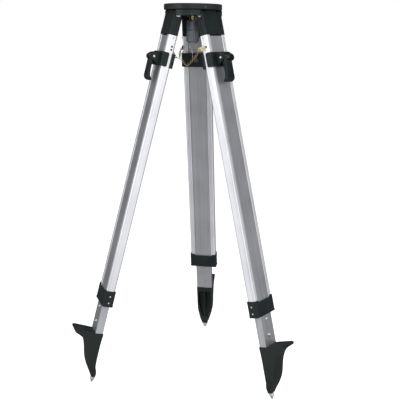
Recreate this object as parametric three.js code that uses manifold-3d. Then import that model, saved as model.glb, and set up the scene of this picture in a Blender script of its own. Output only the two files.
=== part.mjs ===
// Surveyor tripod, heavy aluminium pattern, legs collapsed and spread.
// Millimetres, +Z up, floor at z = 0. The back leg points to +Y, the other two
// stand at 120 and 240 degrees round the head.
import * as THREE from 'three';
import { mergeVertices } from 'three/addons/utils/BufferGeometryUtils.js';
import Module from 'manifold-3d';

const wasm = await Module();
wasm.setup();

// ---------------------------------------------------------------- dimensions
const SPLAY = 14.5;           // degrees, leg tilt from vertical as it stands
const HINGE_R = 53.5;         // hinge axis radius from the head axis
const HINGE_Z = 1034.8;       // hinge axis height over the floor
const HEAD_R = 78.5;          // head casting radius
const HEAD_TOP = 26.5;        // head top face over the hinge axis
const PLATE_BOT = 10.6;       // underside of the upper tier over the hinge axis
const LUG_BOT = -5;         // underside of the lower tier
const HEAD_BORE = 30;         // radius of the central opening
const LUG_PLANE = 44.5;        // lower tier is cut away this far each side of a leg
const TONGUE_W = 22;          // half width of a hinge tongue
const TONGUE_R = 9.5;         // rounding of a hinge tongue
const PIN_R = 4;              // hinge bolt radius
const EAR_IN = 22.6;          // bracket ears, inner and outer faces
const EAR_OUT = 40;
const RAIL_IN = 25.2;         // rail, inner and outer faces
const RAIL_OUT = 40;
const RAIL_H = 12.5;          // half depth of a rail
const RAIL_TOP = 57.4;         // distances down the leg from the hinge axis
const RAIL_END = 812;
const SLIDE_W = 24.6;         // half width and half depth of the lower leg tube
const SLIDE_H = 11;
const SLIDE_TOP = 60;
const SLIDE_END = 906;
const WALL = 1.8;
const BRKT_OUT = 12;        // bracket outer face
const BRKT_IN = -12.5;        // bracket inner face
const BRKT_END = 57;
const BOLT_SEAT = 36.4;       // depth of the bolt seats, from the middle
const BAND_TOP = 779;
const BAND_END = 820;
const CLAMP_TOP = 104;
const CLAMP_END = 142;
const PIVOT_S = 122;          // lever pin, down the leg and outward
const PIVOT_H = 34;
const FOOT_BOLT_1 = 832;
const FOOT_BOLT_2 = 877;
const TIP_H = -18.5;          // steel point sits inward of the tube axis
const TIP_S = 1064;
const ARM_PIVOT_A = 48;       // swing arm pivot radius, on the 60 degree line
const GAP = 0.35;

// ------------------------------------------------------------------- helpers
const V2 = (x, y) => new THREE.Vector2(x, y);
const V3 = (x, y, z) => new THREE.Vector3(x, y, z);
const deg = (a) => (a * Math.PI) / 180;

function solid(geometry) {
  const g = geometry.index ? geometry.clone() : geometry.clone();
  g.deleteAttribute('normal');
  g.deleteAttribute('uv');
  const m = mergeVertices(g, 1e-4);
  return new wasm.Manifold(new wasm.Mesh({
    numProp: 3,
    vertProperties: Float32Array.from(m.attributes.position.array),
    triVerts: Uint32Array.from(m.index.array),
  }));
}
function toGeometry(man) {
  const mesh = man.getMesh();
  const g = new THREE.BufferGeometry();
  g.setAttribute('position', new THREE.BufferAttribute(Float32Array.from(mesh.vertProperties), 3));
  g.setIndex(new THREE.BufferAttribute(Uint32Array.from(mesh.triVerts), 1));
  return g;
}
// rounded rectangle outline from x0..x1, y0..y1
function rrPoints(x0, x1, y0, y1, r, n = 2) {
  const pts = [];
  const rs = Array.isArray(r) ? r : [r, r, r, r]; // corners: ++, -+, --, +-
  const cs = [[x1 - rs[0], y1 - rs[0], 0, rs[0]], [x0 + rs[1], y1 - rs[1], 90, rs[1]],
    [x0 + rs[2], y0 + rs[2], 180, rs[2]], [x1 - rs[3], y0 + rs[3], 270, rs[3]]];
  for (const [cx, cy, a0, rad] of cs) {
    if (rad < 0.05) { pts.push(V2(cx, cy)); continue; }
    for (let i = 0; i <= n; i++) {
      const a = deg(a0 + (90 * i) / n);
      pts.push(V2(cx + rad * Math.cos(a), cy + rad * Math.sin(a)));
    }
  }
  return pts;
}
// outline in (x, y), extruded from z0 to z1
function prism(points, z0, z1) {
  const g = new THREE.ExtrudeGeometry(new THREE.Shape(points), { depth: z1 - z0, bevelEnabled: false, steps: 1 });
  g.translate(0, 0, z0);
  return solid(g);
}
// outline given as (h, s) pairs, seen from the side of a leg, extruded from t0 to t1
function sideSlab(pairs, t0, t1) {
  const g = new THREE.ExtrudeGeometry(new THREE.Shape(pairs.map(([h, s]) => V2(h, -s))), { depth: t1 - t0, bevelEnabled: false, steps: 1 });
  // (x, y, z) of the extrusion -> (z + t0, x, y)
  const m = new THREE.Matrix4().set(0, 0, 1, t0, 1, 0, 0, 0, 0, 1, 0, 0, 0, 0, 0, 1);
  g.applyMatrix4(m);
  return solid(g);
}
// outline given as (t, s) pairs, seen from the front of a leg, extruded from h0 to h1
function frontSlab(pairs, h0, h1) {
  const g = new THREE.ExtrudeGeometry(new THREE.Shape(pairs.map(([t, s]) => V2(t, -s))), { depth: h1 - h0, bevelEnabled: false, steps: 1 });
  // (x, y, z) -> (x, h1 - z, y)
  const m = new THREE.Matrix4().set(1, 0, 0, 0, 0, 0, -1, h1, 0, 1, 0, 0, 0, 0, 0, 1);
  g.applyMatrix4(m);
  return solid(g);
}
const block = (t0, t1, h0, h1, s0, s1) => prism(rrPoints(t0, t1, h0, h1, 0), -s1, -s0);
function rod(r, length, n = 12, axis = 'z', rTop = r) {
  const g = new THREE.CylinderGeometry(rTop, r, length, n, 1);
  if (axis === 'z') g.rotateX(Math.PI / 2);
  if (axis === 'x') g.rotateZ(-Math.PI / 2);
  return solid(g);
}
function lathe(pairs, n = 18) {
  const g = new THREE.LatheGeometry(pairs.map(([r, z]) => V2(r, z)), n);
  g.rotateX(Math.PI / 2);
  return solid(g);
}
function tube(points, r, segs, sides = 8) {
  const curve = new THREE.CatmullRomCurve3(points);
  const ring = [];
  for (let i = 0; i < sides; i++) ring.push(V2(r * Math.cos((2 * Math.PI * i) / sides), r * Math.sin((2 * Math.PI * i) / sides)));
  return solid(new THREE.ExtrudeGeometry(new THREE.Shape(ring), { steps: segs, extrudePath: curve, bevelEnabled: false }));
}
const at = (man, x, y, z) => man.translate([x, y, z]);

const group = new THREE.Group();
group.name = 'surveyor_tripod';
const FINISH = {
  black_casting: { color: 0x23292b, roughness: 0.55, metalness: 0.3 },
  black_plastic: { color: 0x1d2224, roughness: 0.5, metalness: 0.0 },
  aluminium: { color: 0xb9bcc0, roughness: 0.35, metalness: 0.9 },
  steel: { color: 0xa7a9aa, roughness: 0.3, metalness: 0.95 },
  brass: { color: 0xc9a95c, roughness: 0.35, metalness: 0.9 },
};
function put(name, man, finish, matrix) {
  const g = toGeometry(man);
  if (matrix) g.applyMatrix4(matrix);
  g.computeVertexNormals();
  const f = FINISH[finish];
  const mesh = new THREE.Mesh(g, new THREE.MeshStandardMaterial({ color: f.color, roughness: f.roughness, metalness: f.metalness, name: finish + '_' + name }));
  mesh.name = name;
  group.add(mesh);
}
// leg frame: x along the hinge axis, y outward, z up the leg, origin on the hinge axis
function legMatrix(azimuth, splay = SPLAY) {
  const m = new THREE.Matrix4().makeRotationZ(deg(-azimuth));
  m.multiply(new THREE.Matrix4().makeTranslation(0, HINGE_R, HINGE_Z));
  m.multiply(new THREE.Matrix4().makeRotationX(deg(splay)));
  return m;
}

// --------------------------------------------------------------- head casting
function headPlate() {
  const z0 = PLATE_BOT, z1 = HEAD_TOP;
  let body = lathe([[0, z0], [HEAD_R - 1.2, z0], [HEAD_R, z0 + 1.2], [HEAD_R, z1 - 1.6], [HEAD_R - 1.6, z1], [0, z1]], 48);
  // lower tier, set in a shade of a groove below the upper one
  let lower = lathe([[0, LUG_BOT], [HEAD_R - 1, LUG_BOT], [HEAD_R, LUG_BOT + 1], [HEAD_R, z0 - 1.6], [HEAD_R - 1.6, z0 - 0.8], [HEAD_R - 1.6, z0 + 0.5], [0, z0 + 0.5]], 48);
  for (const az of [0, 120, 240]) {
    const cut = prism(rrPoints(-LUG_PLANE, LUG_PLANE, 0, 100, 0), LUG_BOT - 1, z0).rotate([0, 0, -az]);
    lower = lower.subtract(cut);
  }
  lower = lower.subtract(at(rod(60, 40, 36), 0, 0, 0));
  body = body.add(lower);
  // hinge tongues
  for (const az of [0, 120, 240]) {
    const pts = [];
    for (let i = 0; i <= 8; i++) {
      const a = deg(180 + (180 * i) / 8);
      pts.push([TONGUE_R * Math.cos(a), -TONGUE_R * Math.sin(a)]);
    }
    pts.push([TONGUE_R, -z0 - 1]);
    pts.push([-TONGUE_R, -z0 - 1]);
    let tongue = sideSlab(pts, -TONGUE_W, TONGUE_W);
    tongue = tongue.subtract(rod(PIN_R + GAP, 60, 12, 'x'));
    body = body.add(at(tongue, 0, HINGE_R, 0).rotate([0, 0, -az]));
  }
  // central opening with a lead-in, and a relief ring under the plate
  body = body.subtract(at(rod(HEAD_BORE, 60, 32), 0, 0, 15));
  // boss bore for the swing arm pivot
  const p = deg(60);
  body = body.subtract(at(rod(3 + GAP, 8, 10), ARM_PIVOT_A * Math.sin(p), ARM_PIVOT_A * Math.cos(p), z0 + 3.99));
  return at(body, 0, 0, HINGE_Z);
}

// ---------------------------------------------------------- upper leg pieces
function railOutline(sign) {
  const r = 6, n = 3;
  const pts = [];
  const arc = (cx, cy, rad, a0, k = n) => { for (let i = 0; i <= k; i++) { const a = deg(a0 + (90 * i) / k); pts.push(V2(cx + rad * Math.cos(a), cy + rad * Math.sin(a))); } };
  arc(RAIL_OUT - r, RAIL_H - r, r, 0);
  arc(RAIL_IN + 1.5, RAIL_H - 1.5, 1.5, 90, 2);
  pts.push(V2(RAIL_IN, 3.9), V2(RAIL_IN + 3.4, 3.9), V2(RAIL_IN + 3.4, -3.9), V2(RAIL_IN, -3.9));
  arc(RAIL_IN + 1.5, -RAIL_H + 1.5, 1.5, 180, 2);
  arc(RAIL_OUT - r, -RAIL_H + r, r, 270);
  const out = sign > 0 ? pts : pts.map((p) => V2(-p.x, p.y)).reverse();
  return out;
}
function rail(sign) {
  const shape = new THREE.Shape(railOutline(sign));
  const r = 6 - WALL;
  const x0 = RAIL_IN + 3.4 + WALL, x1 = RAIL_OUT - WALL;
  let hole = rrPoints(x0, x1, -RAIL_H + WALL, RAIL_H - WALL, [r, 0, 0, r], 2);
  if (sign < 0) hole = hole.map((p) => V2(-p.x, p.y)).reverse();
  shape.holes.push(new THREE.Path(hole));
  const g = new THREE.ExtrudeGeometry(shape, { depth: RAIL_END - RAIL_TOP, bevelEnabled: false, steps: 1 });
  g.translate(0, 0, -RAIL_END);
  return solid(g);
}
function railPocket(sign, s0, s1) {
  const x0 = RAIL_IN - GAP, x1 = RAIL_OUT + GAP;
  let p = rrPoints(x0, x1, -RAIL_H - GAP, RAIL_H + GAP, [6.2, 1, 1, 6.2], 3);
  if (sign < 0) p = p.map((q) => V2(-q.x, q.y)).reverse();
  return prism(p, -s1, -s0);
}
function bracket() {
  // side outline: round the hinge, outer face flush with the rails, a low pad at the foot
  const pts = [[BRKT_OUT, -4], [BRKT_OUT, 39], [BRKT_OUT + 1.4, 41], [BRKT_OUT + 1.4, 55.4], [BRKT_OUT + 0.4, BRKT_END], [BRKT_IN, BRKT_END], [BRKT_IN, 12], [-TONGUE_R, 3]];
  for (let i = 0; i <= 6; i++) {
    const a = deg(180 - (90 * i) / 6);
    pts.push([9.5 * Math.cos(a), -9.5 * Math.sin(a)]);
  }
  pts.push([4, -8.7], [9, -7.2]);
  let body = sideSlab(pts.reverse(), -EAR_OUT, EAR_OUT);
  // rounded corners down the whole casting
  const hull = prism(rrPoints(-EAR_OUT, EAR_OUT, BRKT_IN, BRKT_OUT + 1.4, 4, 2), -BRKT_END, 12);
  body = body.intersect(hull);
  // shallow panel in each side face, with a rib beside it
  for (const sg of [-1, 1]) {
    body = body.subtract(sideSlab([[-1.6, 16], [9, 16], [9, 52], [-1.6, 52]], sg > 0 ? EAR_OUT - 0.9 : -EAR_OUT - 1, sg > 0 ? EAR_OUT + 1 : -EAR_OUT + 0.9));
  }
  // clear the head tongue between the ears
  body = body.subtract(rod(TONGUE_R + 1.2, 2 * EAR_IN, 18, 'x'));
  body = body.subtract(block(-EAR_IN, EAR_IN, -30, 30, -30, 0));
  body = body.subtract(block(-EAR_IN, EAR_IN, -30, 0, -30, TONGUE_R + 1.2));
  body = body.subtract(block(-EAR_IN, EAR_IN, 0, 10.2, -30, 5));
  // weight pocket behind the web
  body = body.subtract(prism(rrPoints(-19, 19, BRKT_IN - 2, 7, 2, 2), -50, -19));
  // spigots that go up inside the hollow rails
  for (const sg of [-1, 1]) {
    const x0 = RAIL_IN + 3.4 + WALL + GAP, x1 = RAIL_OUT - WALL - GAP;
    let sp = rrPoints(x0, x1, -RAIL_H + WALL + GAP, RAIL_H - WALL - GAP, [4.2, 0.8, 0.8, 4.2], 2);
    if (sg < 0) sp = sp.map((q) => V2(-q.x, q.y)).reverse();
    body = body.add(prism(sp, -BRKT_END - 26, -BRKT_END + 1));
  }
  // hinge bore, and a seat for the bolt head or nut in each ear
  body = body.subtract(rod(PIN_R + GAP, 120, 12, 'x'));
  for (const sg of [-1, 1]) body = body.subtract(at(rod(8.95, 6, 16, 'x'), sg * (BOLT_SEAT + 3), 0, 0));
  return body;
}
function hingeBolt() {
  const w0 = BOLT_SEAT + 0.3;
  const shaft = at(rod(PIN_R, 2 * 42.9, 12, 'x'), 0, 0, 0);
  const washer = at(rod(8.5, 1.3, 16, 'x'), -w0 - 0.65, 0, 0);
  const head = at(rod(7.2, 5, 6, 'x'), -w0 - 1.3 - 2.4, 0, 0);
  return shaft.add(head).add(washer);
}
function hingeNut() {
  const w0 = BOLT_SEAT + 0.3;
  let n = at(rod(7.2, 4.6, 6, 'x'), w0 + 1.3 + 2.2, 0, 0);
  n = n.add(at(rod(8.5, 1.3, 16, 'x'), w0 + 0.65, 0, 0));
  return n.subtract(at(rod(PIN_R + 0.3, 20, 12, 'x'), EAR_OUT + 4, 0, 0));
}
function band() {
  let body = prism(rrPoints(-43, 43, -15.6, 15.6, 5, 3), -BAND_END, -BAND_TOP);
  const rimOuter = rrPoints(-43.8, 43.8, -16.4, 16.4, 5.8, 3);
  body = body.add(prism(rimOuter, -BAND_END + 0.8, -BAND_END + 4.5));
  // raised lips at both ends of the top edge
  for (const sg of [-1, 1]) {
    const lip = prism(rrPoints(sg > 0 ? 29 : -43, sg > 0 ? 43 : -29, -15.6, 15.6, sg > 0 ? [5, 0, 0, 5] : [0, 5, 5, 0], 3), -BAND_TOP - 1, -BAND_TOP + 4.5);
    body = body.add(lip);
  }
  // room for both rails and the slide, closed under the rail ends
  body = body.subtract(prism(rrPoints(-RAIL_OUT - GAP, RAIL_OUT + GAP, -RAIL_H - GAP, RAIL_H + GAP, 6.2, 3), -814, -BAND_TOP + 10));
  body = body.subtract(prism(rrPoints(-28.8, 28.8, -SLIDE_H - 0.5, SLIDE_H + 0.5, 0, 2), -BAND_END - 1, -BAND_TOP + 10));
  return body;
}

// ---------------------------------------------------------- lower leg pieces
function sliderTube() {
  const pts = [];
  const w = SLIDE_W, h = SLIDE_H, c = 1.2;
  const q = [[w - c, h], [w, h - c], [w, 3.4], [w + 3.4, 3.4], [w + 3.4, -3.4], [w, -3.4], [w, -h + c], [w - c, -h]];
  for (const [x, y] of q) pts.push(V2(x, y));
  for (const [x, y] of q) pts.push(V2(-x, -y));
  const shape = new THREE.Shape(pts);
  shape.holes.push(new THREE.Path(rrPoints(-w + WALL, w - WALL, -h + WALL, h - WALL, 0)));
  const g = new THREE.ExtrudeGeometry(shape, { depth: SLIDE_END - SLIDE_TOP, bevelEnabled: false, steps: 1 });
  g.translate(0, 0, -SLIDE_END);
  let body = solid(g);
  const hole = (s, r) => frontSlab([...Array(10)].map((_, i) => [r * Math.cos((2 * Math.PI * i) / 10), s + r * Math.sin((2 * Math.PI * i) / 10)]), -20, 20);
  body = body.subtract(hole(PIVOT_S, 4 + GAP));
  body = body.subtract(hole(FOOT_BOLT_1, 3 + GAP));
  body = body.subtract(hole(FOOT_BOLT_2, 3 + GAP));
  // tongues stop short of the foot end
  body = body.subtract(block(w + 0.01, w + 6, -8, 8, 822, SLIDE_END + 1));
  body = body.subtract(block(-w - 6, -w - 0.01, -8, 8, 822, SLIDE_END + 1));
  return body;
}
function footCasting() {
  const side = [
    [-12.4, 906.4], [13, 906.4], [24, 904.6], [44, 902.6], [66, 900.6], [69.6, 902.4], [70, 906], [66.5, 910.4], [57, 914.6], [48, 919.6],
    [40, 926.4], [33.6, 935], [28, 946], [23, 960], [19.5, 975], [16, 990], [10.5, 1004], [3, 1018], [-5, 1032], [-11, 1043], [-13.4, 1049],
    [-23.6, 1049], [-23.4, 1040], [-21.4, 1026], [-19.4, 1008], [-17.8, 990], [-16.4, 966], [-15, 940], [-13.4, 920]];
  const front = [[-24.8, 890], [24.8, 890], [25.2, 930], [25, 962], [24.2, 980], [21.6, 1000], [17.6, 1016], [13.2, 1030], [9.4, 1042], [7.4, 1049.5],
    [-7.4, 1049.5], [-9.4, 1042], [-13.2, 1030], [-17.6, 1016], [-21.6, 1000], [-24.2, 980], [-25, 962], [-25.2, 930]];
  let body = sideSlab(side, -30, 30).intersect(frontSlab(front, -60, 90));
  // tongue inside the tube
  const w = SLIDE_W - WALL - GAP, h = SLIDE_H - WALL - GAP;
  body = body.add(prism(rrPoints(-w, w, -h, h, 0), -907, -816));
  const hole = (s, r) => frontSlab([...Array(10)].map((_, i) => [r * Math.cos((2 * Math.PI * i) / 10), s + r * Math.sin((2 * Math.PI * i) / 10)]), -20, 20);
  body = body.subtract(hole(FOOT_BOLT_1, 3 + GAP));
  body = body.subtract(hole(FOOT_BOLT_2, 3 + GAP));
  // socket for the steel point
  body = body.subtract(at(rod(4 + GAP, 22, 12), 0, TIP_H, -1049 + 11 - 0.5));
  // hollow back, left and right of a middle web
  for (const sg of [-1, 1]) {
    const plan = [[3, 924], [19.6, 924], [20, 960], [18.6, 982], [14.6, 1000], [9, 1016], [3, 1022]].map(([t, s]) => [sg * t, s]);
    const depth = sideSlab([[-40, 920], [34, 920], [27.5, 932], [21, 946], [15.5, 962], [11.5, 980], [6, 996], [-1, 1010], [-9, 1023], [-40, 1028]], -30, 30);
    body = body.subtract(frontSlab(sg > 0 ? plan : plan.reverse(), -40, 60).intersect(depth));
  }
  // tread bars
  for (let i = 0; i < 4; i++) {
    const h0 = 29 + i * 10;
    const s0 = 906.2 - (h0 - 4) * 0.088;
    body = body.subtract(sideSlab([[h0, s0 - 6], [h0 + 2.6, s0 - 6], [h0 + 2.2, s0 + 0.0], [h0 + 0.4, s0 + 0.0]], -40, 40));
  }
  return body;
}
function steelPoint() {
  const prof = [[0, -TIP_S], [0.9, -TIP_S + 0.2], [6.2, -TIP_S + 11.5], [6.4, -TIP_S + 14.4], [4, -TIP_S + 14.6], [4, -TIP_S + 33.5], [0, -TIP_S + 33.5]];
  return at(lathe(prof, 12), 0, TIP_H, 0);
}
function footBolt(s) {
  const g = (r, h0, h1, n) => {
    const m = new THREE.CylinderGeometry(r, r, h1 - h0, n, 1);
    m.translate(0, (h0 + h1) / 2, 0);
    return solid(m);
  };
  const dome = (h0, h1, r0, r1) => {
    const m = new THREE.CylinderGeometry(h1 > h0 ? r1 : r0, h1 > h0 ? r0 : r1, Math.abs(h1 - h0), 12, 1);
    m.translate(0, (h0 + h1) / 2, 0);
    return solid(m);
  };
  let b = g(3, -SLIDE_H - 3.4, SLIDE_H + 2.4, 8);
  b = b.add(dome(SLIDE_H + 0.3, SLIDE_H + 3, 5.6, 4));
  b = b.add(g(5, -SLIDE_H - 3, -SLIDE_H - 0.3, 6));
  return at(b, 0, 0, -s);
}
function clampBlock() {
  let body = prism(rrPoints(-44, 44, -4, 18, 5.5, 3), -CLAMP_END, -CLAMP_TOP);
  body = body.subtract(prism(rrPoints(-RAIL_OUT - GAP - 0.1, RAIL_OUT + GAP + 0.1, -RAIL_H - 20, RAIL_H + GAP + 0.1, 6.2, 3), -CLAMP_END - 1, -CLAMP_TOP + 1));
  // rounded free corners of the two side arms
  const sidePts = [];
  for (const [ch, cs, a0] of [[4.5, CLAMP_TOP + 4.5, 180], [4.5, CLAMP_END - 4.5, 90]]) {
    for (let i = 0; i <= 3; i++) {
      const a = deg(a0 + (90 * i) / 3);
      sidePts.push([ch + 4.5 * Math.cos(a), cs + 4.5 * Math.sin(a)]);
    }
  }
  const arc1 = sidePts.slice(0, 4), arc2 = sidePts.slice(4, 8);
  const outline = [...arc2, ...arc1, [30, CLAMP_TOP], [30, CLAMP_END]];
  body = body.intersect(sideSlab(outline, -60, 60));
  // two ears that carry the lever pin, with a pad between them
  const ear = [[12, CLAMP_TOP + 3], [22, CLAMP_TOP + 3], [33, CLAMP_TOP + 7], [39, PIVOT_S - 6], [41.4, PIVOT_S - 1], [41.2, PIVOT_S + 4], [38, PIVOT_S + 8], [30, PIVOT_S + 11], [22, CLAMP_END - 4], [12, CLAMP_END - 3]];
  for (const sg of [-1, 1]) {
    body = body.add(sideSlab(ear, sg > 0 ? 18 : -24.4, sg > 0 ? 24.4 : -18));
  }
  // saddle under the cam
  body = body.add(block(-19, 19, 14, 25, CLAMP_TOP + 5, CLAMP_END - 7));
  body = body.subtract(prism(rrPoints(-RAIL_OUT - GAP - 0.1, RAIL_OUT + GAP + 0.1, -RAIL_H - 20, RAIL_H + GAP + 0.1, 6.2, 3), -CLAMP_END - 1, -CLAMP_TOP + 1));
  // bolt bore and pin bore
  body = body.subtract(frontSlab([...Array(10)].map((_, i) => [4.6 * Math.cos((2 * Math.PI * i) / 10), PIVOT_S + 4.6 * Math.sin((2 * Math.PI * i) / 10)]), 0, 30));
  body = body.subtract(at(rod(3 + GAP, 90, 10, 'x'), 0, PIVOT_H, -PIVOT_S));
  // room for the turning cam
  body = body.subtract(at(rod(10.3, 36, 18, 'x'), 0, PIVOT_H, -PIVOT_S));
  return body;
}
function clampPlate() {
  let body = prism(rrPoints(-44, 44, -18.6, 0, 5, 3), -CLAMP_END - 1, -CLAMP_TOP - 0.5);
  body = body.subtract(block(-60, 60, -9.6, 20, CLAMP_TOP - 5, CLAMP_END + 5));
  body = body.subtract(prism(rrPoints(-RAIL_OUT - GAP - 0.1, RAIL_OUT + GAP + 0.1, -RAIL_H - GAP - 0.1, 30, 6.2, 3), -CLAMP_END - 4, -CLAMP_TOP + 4));
  // pressed stiffening rib
  body = body.add(prism(rrPoints(-34, 34, -20.2, -17, 0), -CLAMP_END + 3, -CLAMP_END + 8));
  body = body.add(prism(rrPoints(-34, 34, -20.2, -17, 0), -CLAMP_TOP - 8, -CLAMP_TOP - 3));
  body = body.subtract(frontSlab([...Array(10)].map((_, i) => [4.6 * Math.cos((2 * Math.PI * i) / 10), PIVOT_S + 4.6 * Math.sin((2 * Math.PI * i) / 10)]), -30, 0));
  return body;
}
function clampLever() {
  const prof = [[35, 113.2], [39.5, 114.8], [42.6, 118.4], [43.5, 124], [43.6, 136], [43.1, 150], [42, 163], [40.4, 174], [37.4, 182], [32.5, 186.6], [26.4, 186.4],
    [23.4, 182.8], [24, 179.2], [28.4, 177.6], [31.6, 172.6], [33.8, 163], [35, 150], [34.8, 138], [32, 131.4], [27.6, 128.2], [25.2, 123.4], [25.3, 119], [27.6, 115.6], [31, 113.6]];
  let body = sideSlab(prof, -17.3, 17.3);
  // tapered sides and a crowned outer face with grip grooves
  body = body.intersect(frontSlab([[-17.3, 108], [17.3, 108], [17.3, 150], [16, 183], [14.4, 188], [-14.4, 188], [-16, 183], [-17.3, 150]], 10, 60));
  const crown = [];
  for (let i = 0; i <= 10; i++) { const x = -18 + 3.6 * i; crown.push(V2(x, 43.7 - (x * x) / 66)); }
  crown.push(V2(18, 0), V2(-18, 0));
  body = body.intersect(prism(crown.reverse(), -200, -100));
  for (const t of [-8.4, 0, 8.4]) {
    const y = 43.7 - (t * t) / 66;
    body = body.subtract(sideSlab([[y - 1.3, 134], [48, 132], [48, 182], [y - 5.4, 174], [y - 2.6, 162], [y - 1.4, 150]], t - 2.1, t + 2.1));
  }
  // slot for the bolt eye, and the pin bore
  body = body.subtract(sideSlab([[10, 105], [40.4, 105], [40.8, 124], [40.4, 131.4], [34, 134], [10, 134]], -6.2, 6.2));
  body = body.subtract(at(rod(3 + GAP, 60, 10, 'x'), 0, PIVOT_H, -PIVOT_S));
  return body;
}
function leverPin() {
  let p = rod(3, 50.6, 10, 'x');
  p = p.add(at(rod(4, 1.2, 12, 'x'), 25.4, 0, 0)).add(at(rod(4, 1.2, 12, 'x'), -25.4, 0, 0));
  return at(p, 0, PIVOT_H, -PIVOT_S);
}
function clampBolt() {
  const m = new THREE.CylinderGeometry(4, 4, PIVOT_H - 3 + 22.4, 12, 1);
  m.translate(0, (PIVOT_H - 3 - 22.4) / 2, 0);
  let b = solid(m);
  const n = new THREE.CylinderGeometry(7.2, 7.2, 4.6, 6, 1);
  n.translate(0, -18.6 - 0.4 - 2.3 - 0.0, 0);
  b = b.add(solid(n));
  b = b.add(rod(6.6, 11, 14, 'x').translate([0, PIVOT_H, 0]));
  b = b.subtract(rod(3 + GAP, 20, 10, 'x').translate([0, PIVOT_H, 0]));
  return at(b, 0, 0, -PIVOT_S);
}

// ------------------------------------------------------- centre screw pieces
const Z = HINGE_Z;
function swingArm() {
  // strip that hangs from the pivot, steps down and carries the slot; built along +Y
  const zTop = PLATE_BOT - 0.5;
  const w = 13;
  const prof = [[ARM_PIVOT_A + 9, -zTop], [40, -zTop], [34, -zTop + 8], [-34, -zTop + 8], [-34, -zTop + 12.2], [36, -zTop + 12.2], [42, -zTop + 4.2], [ARM_PIVOT_A + 9, -zTop + 4.2]];
  let body = sideSlab(prof, -w, w);
  const plan = [];
  for (let i = 0; i <= 8; i++) { const a = deg((180 * i) / 8); plan.push(V2(9 * Math.cos(a), ARM_PIVOT_A + 9 * Math.sin(a))); }
  for (let i = 0; i <= 8; i++) { const a = deg(180 + (180 * i) / 8); plan.push(V2(w * Math.cos(a), -21 + w * Math.sin(a))); }
  body = body.intersect(prism(plan, -60, 60));
  body = body.subtract(prism(rrPoints(-8.6, 8.6, -28, 28, 8.4, 4), -60, 60));
  body = body.subtract(at(rod(3 + GAP, 60, 10), 0, ARM_PIVOT_A, 0));
  return at(body.rotate([0, 0, -60]), 0, 0, Z);
}
function armPivot() {
  const zTop = PLATE_BOT - 0.5;
  let p = lathe([[0, zTop - 7.6], [5.6, zTop - 7.6], [6, zTop - 7], [6, zTop - 4.6], [3, zTop - 4.5], [3, PLATE_BOT + 7], [0, PLATE_BOT + 7]], 10);
  return at(at(p, 0, ARM_PIVOT_A, 0).rotate([0, 0, -60]), 0, 0, Z);
}
const ARM_BOT = PLATE_BOT - 0.5 - 12.2;   // underside of the arm at the slot
const ARM_TOP = PLATE_BOT - 0.5 - 8;
function bushing() {
  const b0 = ARM_BOT - 0.4;
  return at(lathe([[5.3, -15], [9, -15], [9.4, -14.4], [9.4, b0 - 4.4], [14.6, b0 - 4.2], [15, b0 - 3.6], [15, b0 - 0.4], [14.6, b0], [8.2, b0], [8.2, ARM_TOP - 0.3], [5.3, ARM_TOP - 0.3], [5.3, -15]], 18), 0, 0, Z);
}
function centreScrew() {
  const t0 = ARM_TOP + 0.1;
  return at(lathe([[0, -34], [5, -34], [5, t0], [11, t0], [11, t0 + 2.2], [7.9, t0 + 2.6], [7.9, 22.4], [6.6, 23.8], [0, 23.8]], 18), 0, 0, Z);
}
function knob() {
  // plain upper barrel and a fluted grip
  let body = lathe([[0, -73.6], [13.5, -73.6], [16.6, -71], [17.2, -69], [17.2, -43], [16.4, -41.6], [15.4, -41], [15.4, -40], [16.6, -39.2], [16.6, -19], [15.2, -17.2], [13.4, -16.4], [0, -16.4]], 24);
  for (let i = 0; i < 12; i++) {
    const a = (2 * Math.PI * i) / 12;
    body = body.subtract(at(rod(2.3, 26, 6), 18.4 * Math.cos(a), 18.4 * Math.sin(a), -57));
  }
  body = body.subtract(at(rod(5.35, 24, 12), 0, 0, -16.4 - 11));
  // side holes that take the plumb bail
  return at(body, 0, 0, Z);
}
function plumbHook() {
  const bail = tube([V3(-9.6, 0, -74.2), V3(-9.4, 0, -79), V3(-5, 0, -90), V3(-1.6, 0, -97.6), V3(0, 0, -99.4), V3(1.6, 0, -97.6), V3(5, 0, -90), V3(9.4, 0, -79), V3(9.6, 0, -74.2)], 1.25, 12, 6);
  const drop = tube([V3(0, 0, -98.4), V3(0.1, 0, -106), V3(0, 0.2, -112), V3(0, 2.2, -116), V3(0, 4.8, -114.6), V3(0, 5.4, -111.4)], 1.15, 9, 6);
  return at(bail.add(drop), 0, 0, Z);
}

// ------------------------------------------------------------------ assembly
put('head_plate', headPlate(), 'black_casting');
put('screw_arm', swingArm(), 'black_casting');
put('arm_pivot', armPivot(), 'steel');
put('screw_bushing', bushing(), 'brass');
put('centre_screw', centreScrew(), 'brass');
put('screw_knob', knob(), 'black_plastic');
put('plumb_hook', plumbHook(), 'steel');

const LEGS = [['back', 0], ['right', 120], ['left', 240]];
for (const [k, az] of LEGS) {
  const m = legMatrix(az);
  put('hinge_bracket_' + k, bracket(), 'black_plastic', m);
  put('hinge_bolt_' + k, hingeBolt(), 'steel', m);
  put('hinge_nut_' + k, hingeNut(), 'steel', m);
  put('rail_' + k + '_a', rail(1), 'aluminium', m);
  put('rail_' + k + '_b', rail(-1), 'aluminium', m);
  put('guide_band_' + k, band(), 'black_plastic', m);
  put('slide_tube_' + k, sliderTube(), 'aluminium', m);
  put('foot_' + k, footCasting(), 'black_casting', m);
  put('foot_point_' + k, steelPoint(), 'steel', m);
  put('foot_bolt_' + k + '_upper', footBolt(FOOT_BOLT_1), 'steel', m);
  put('foot_bolt_' + k + '_lower', footBolt(FOOT_BOLT_2), 'steel', m);
  put('clamp_block_' + k, clampBlock(), 'black_plastic', m);
  put('clamp_plate_' + k, clampPlate(), 'black_plastic', m);
  put('clamp_lever_' + k, clampLever(), 'black_plastic', m);
  put('lever_pin_' + k, leverPin(), 'steel', m);
  put('clamp_bolt_' + k, clampBolt(), 'steel', m);
}

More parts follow.
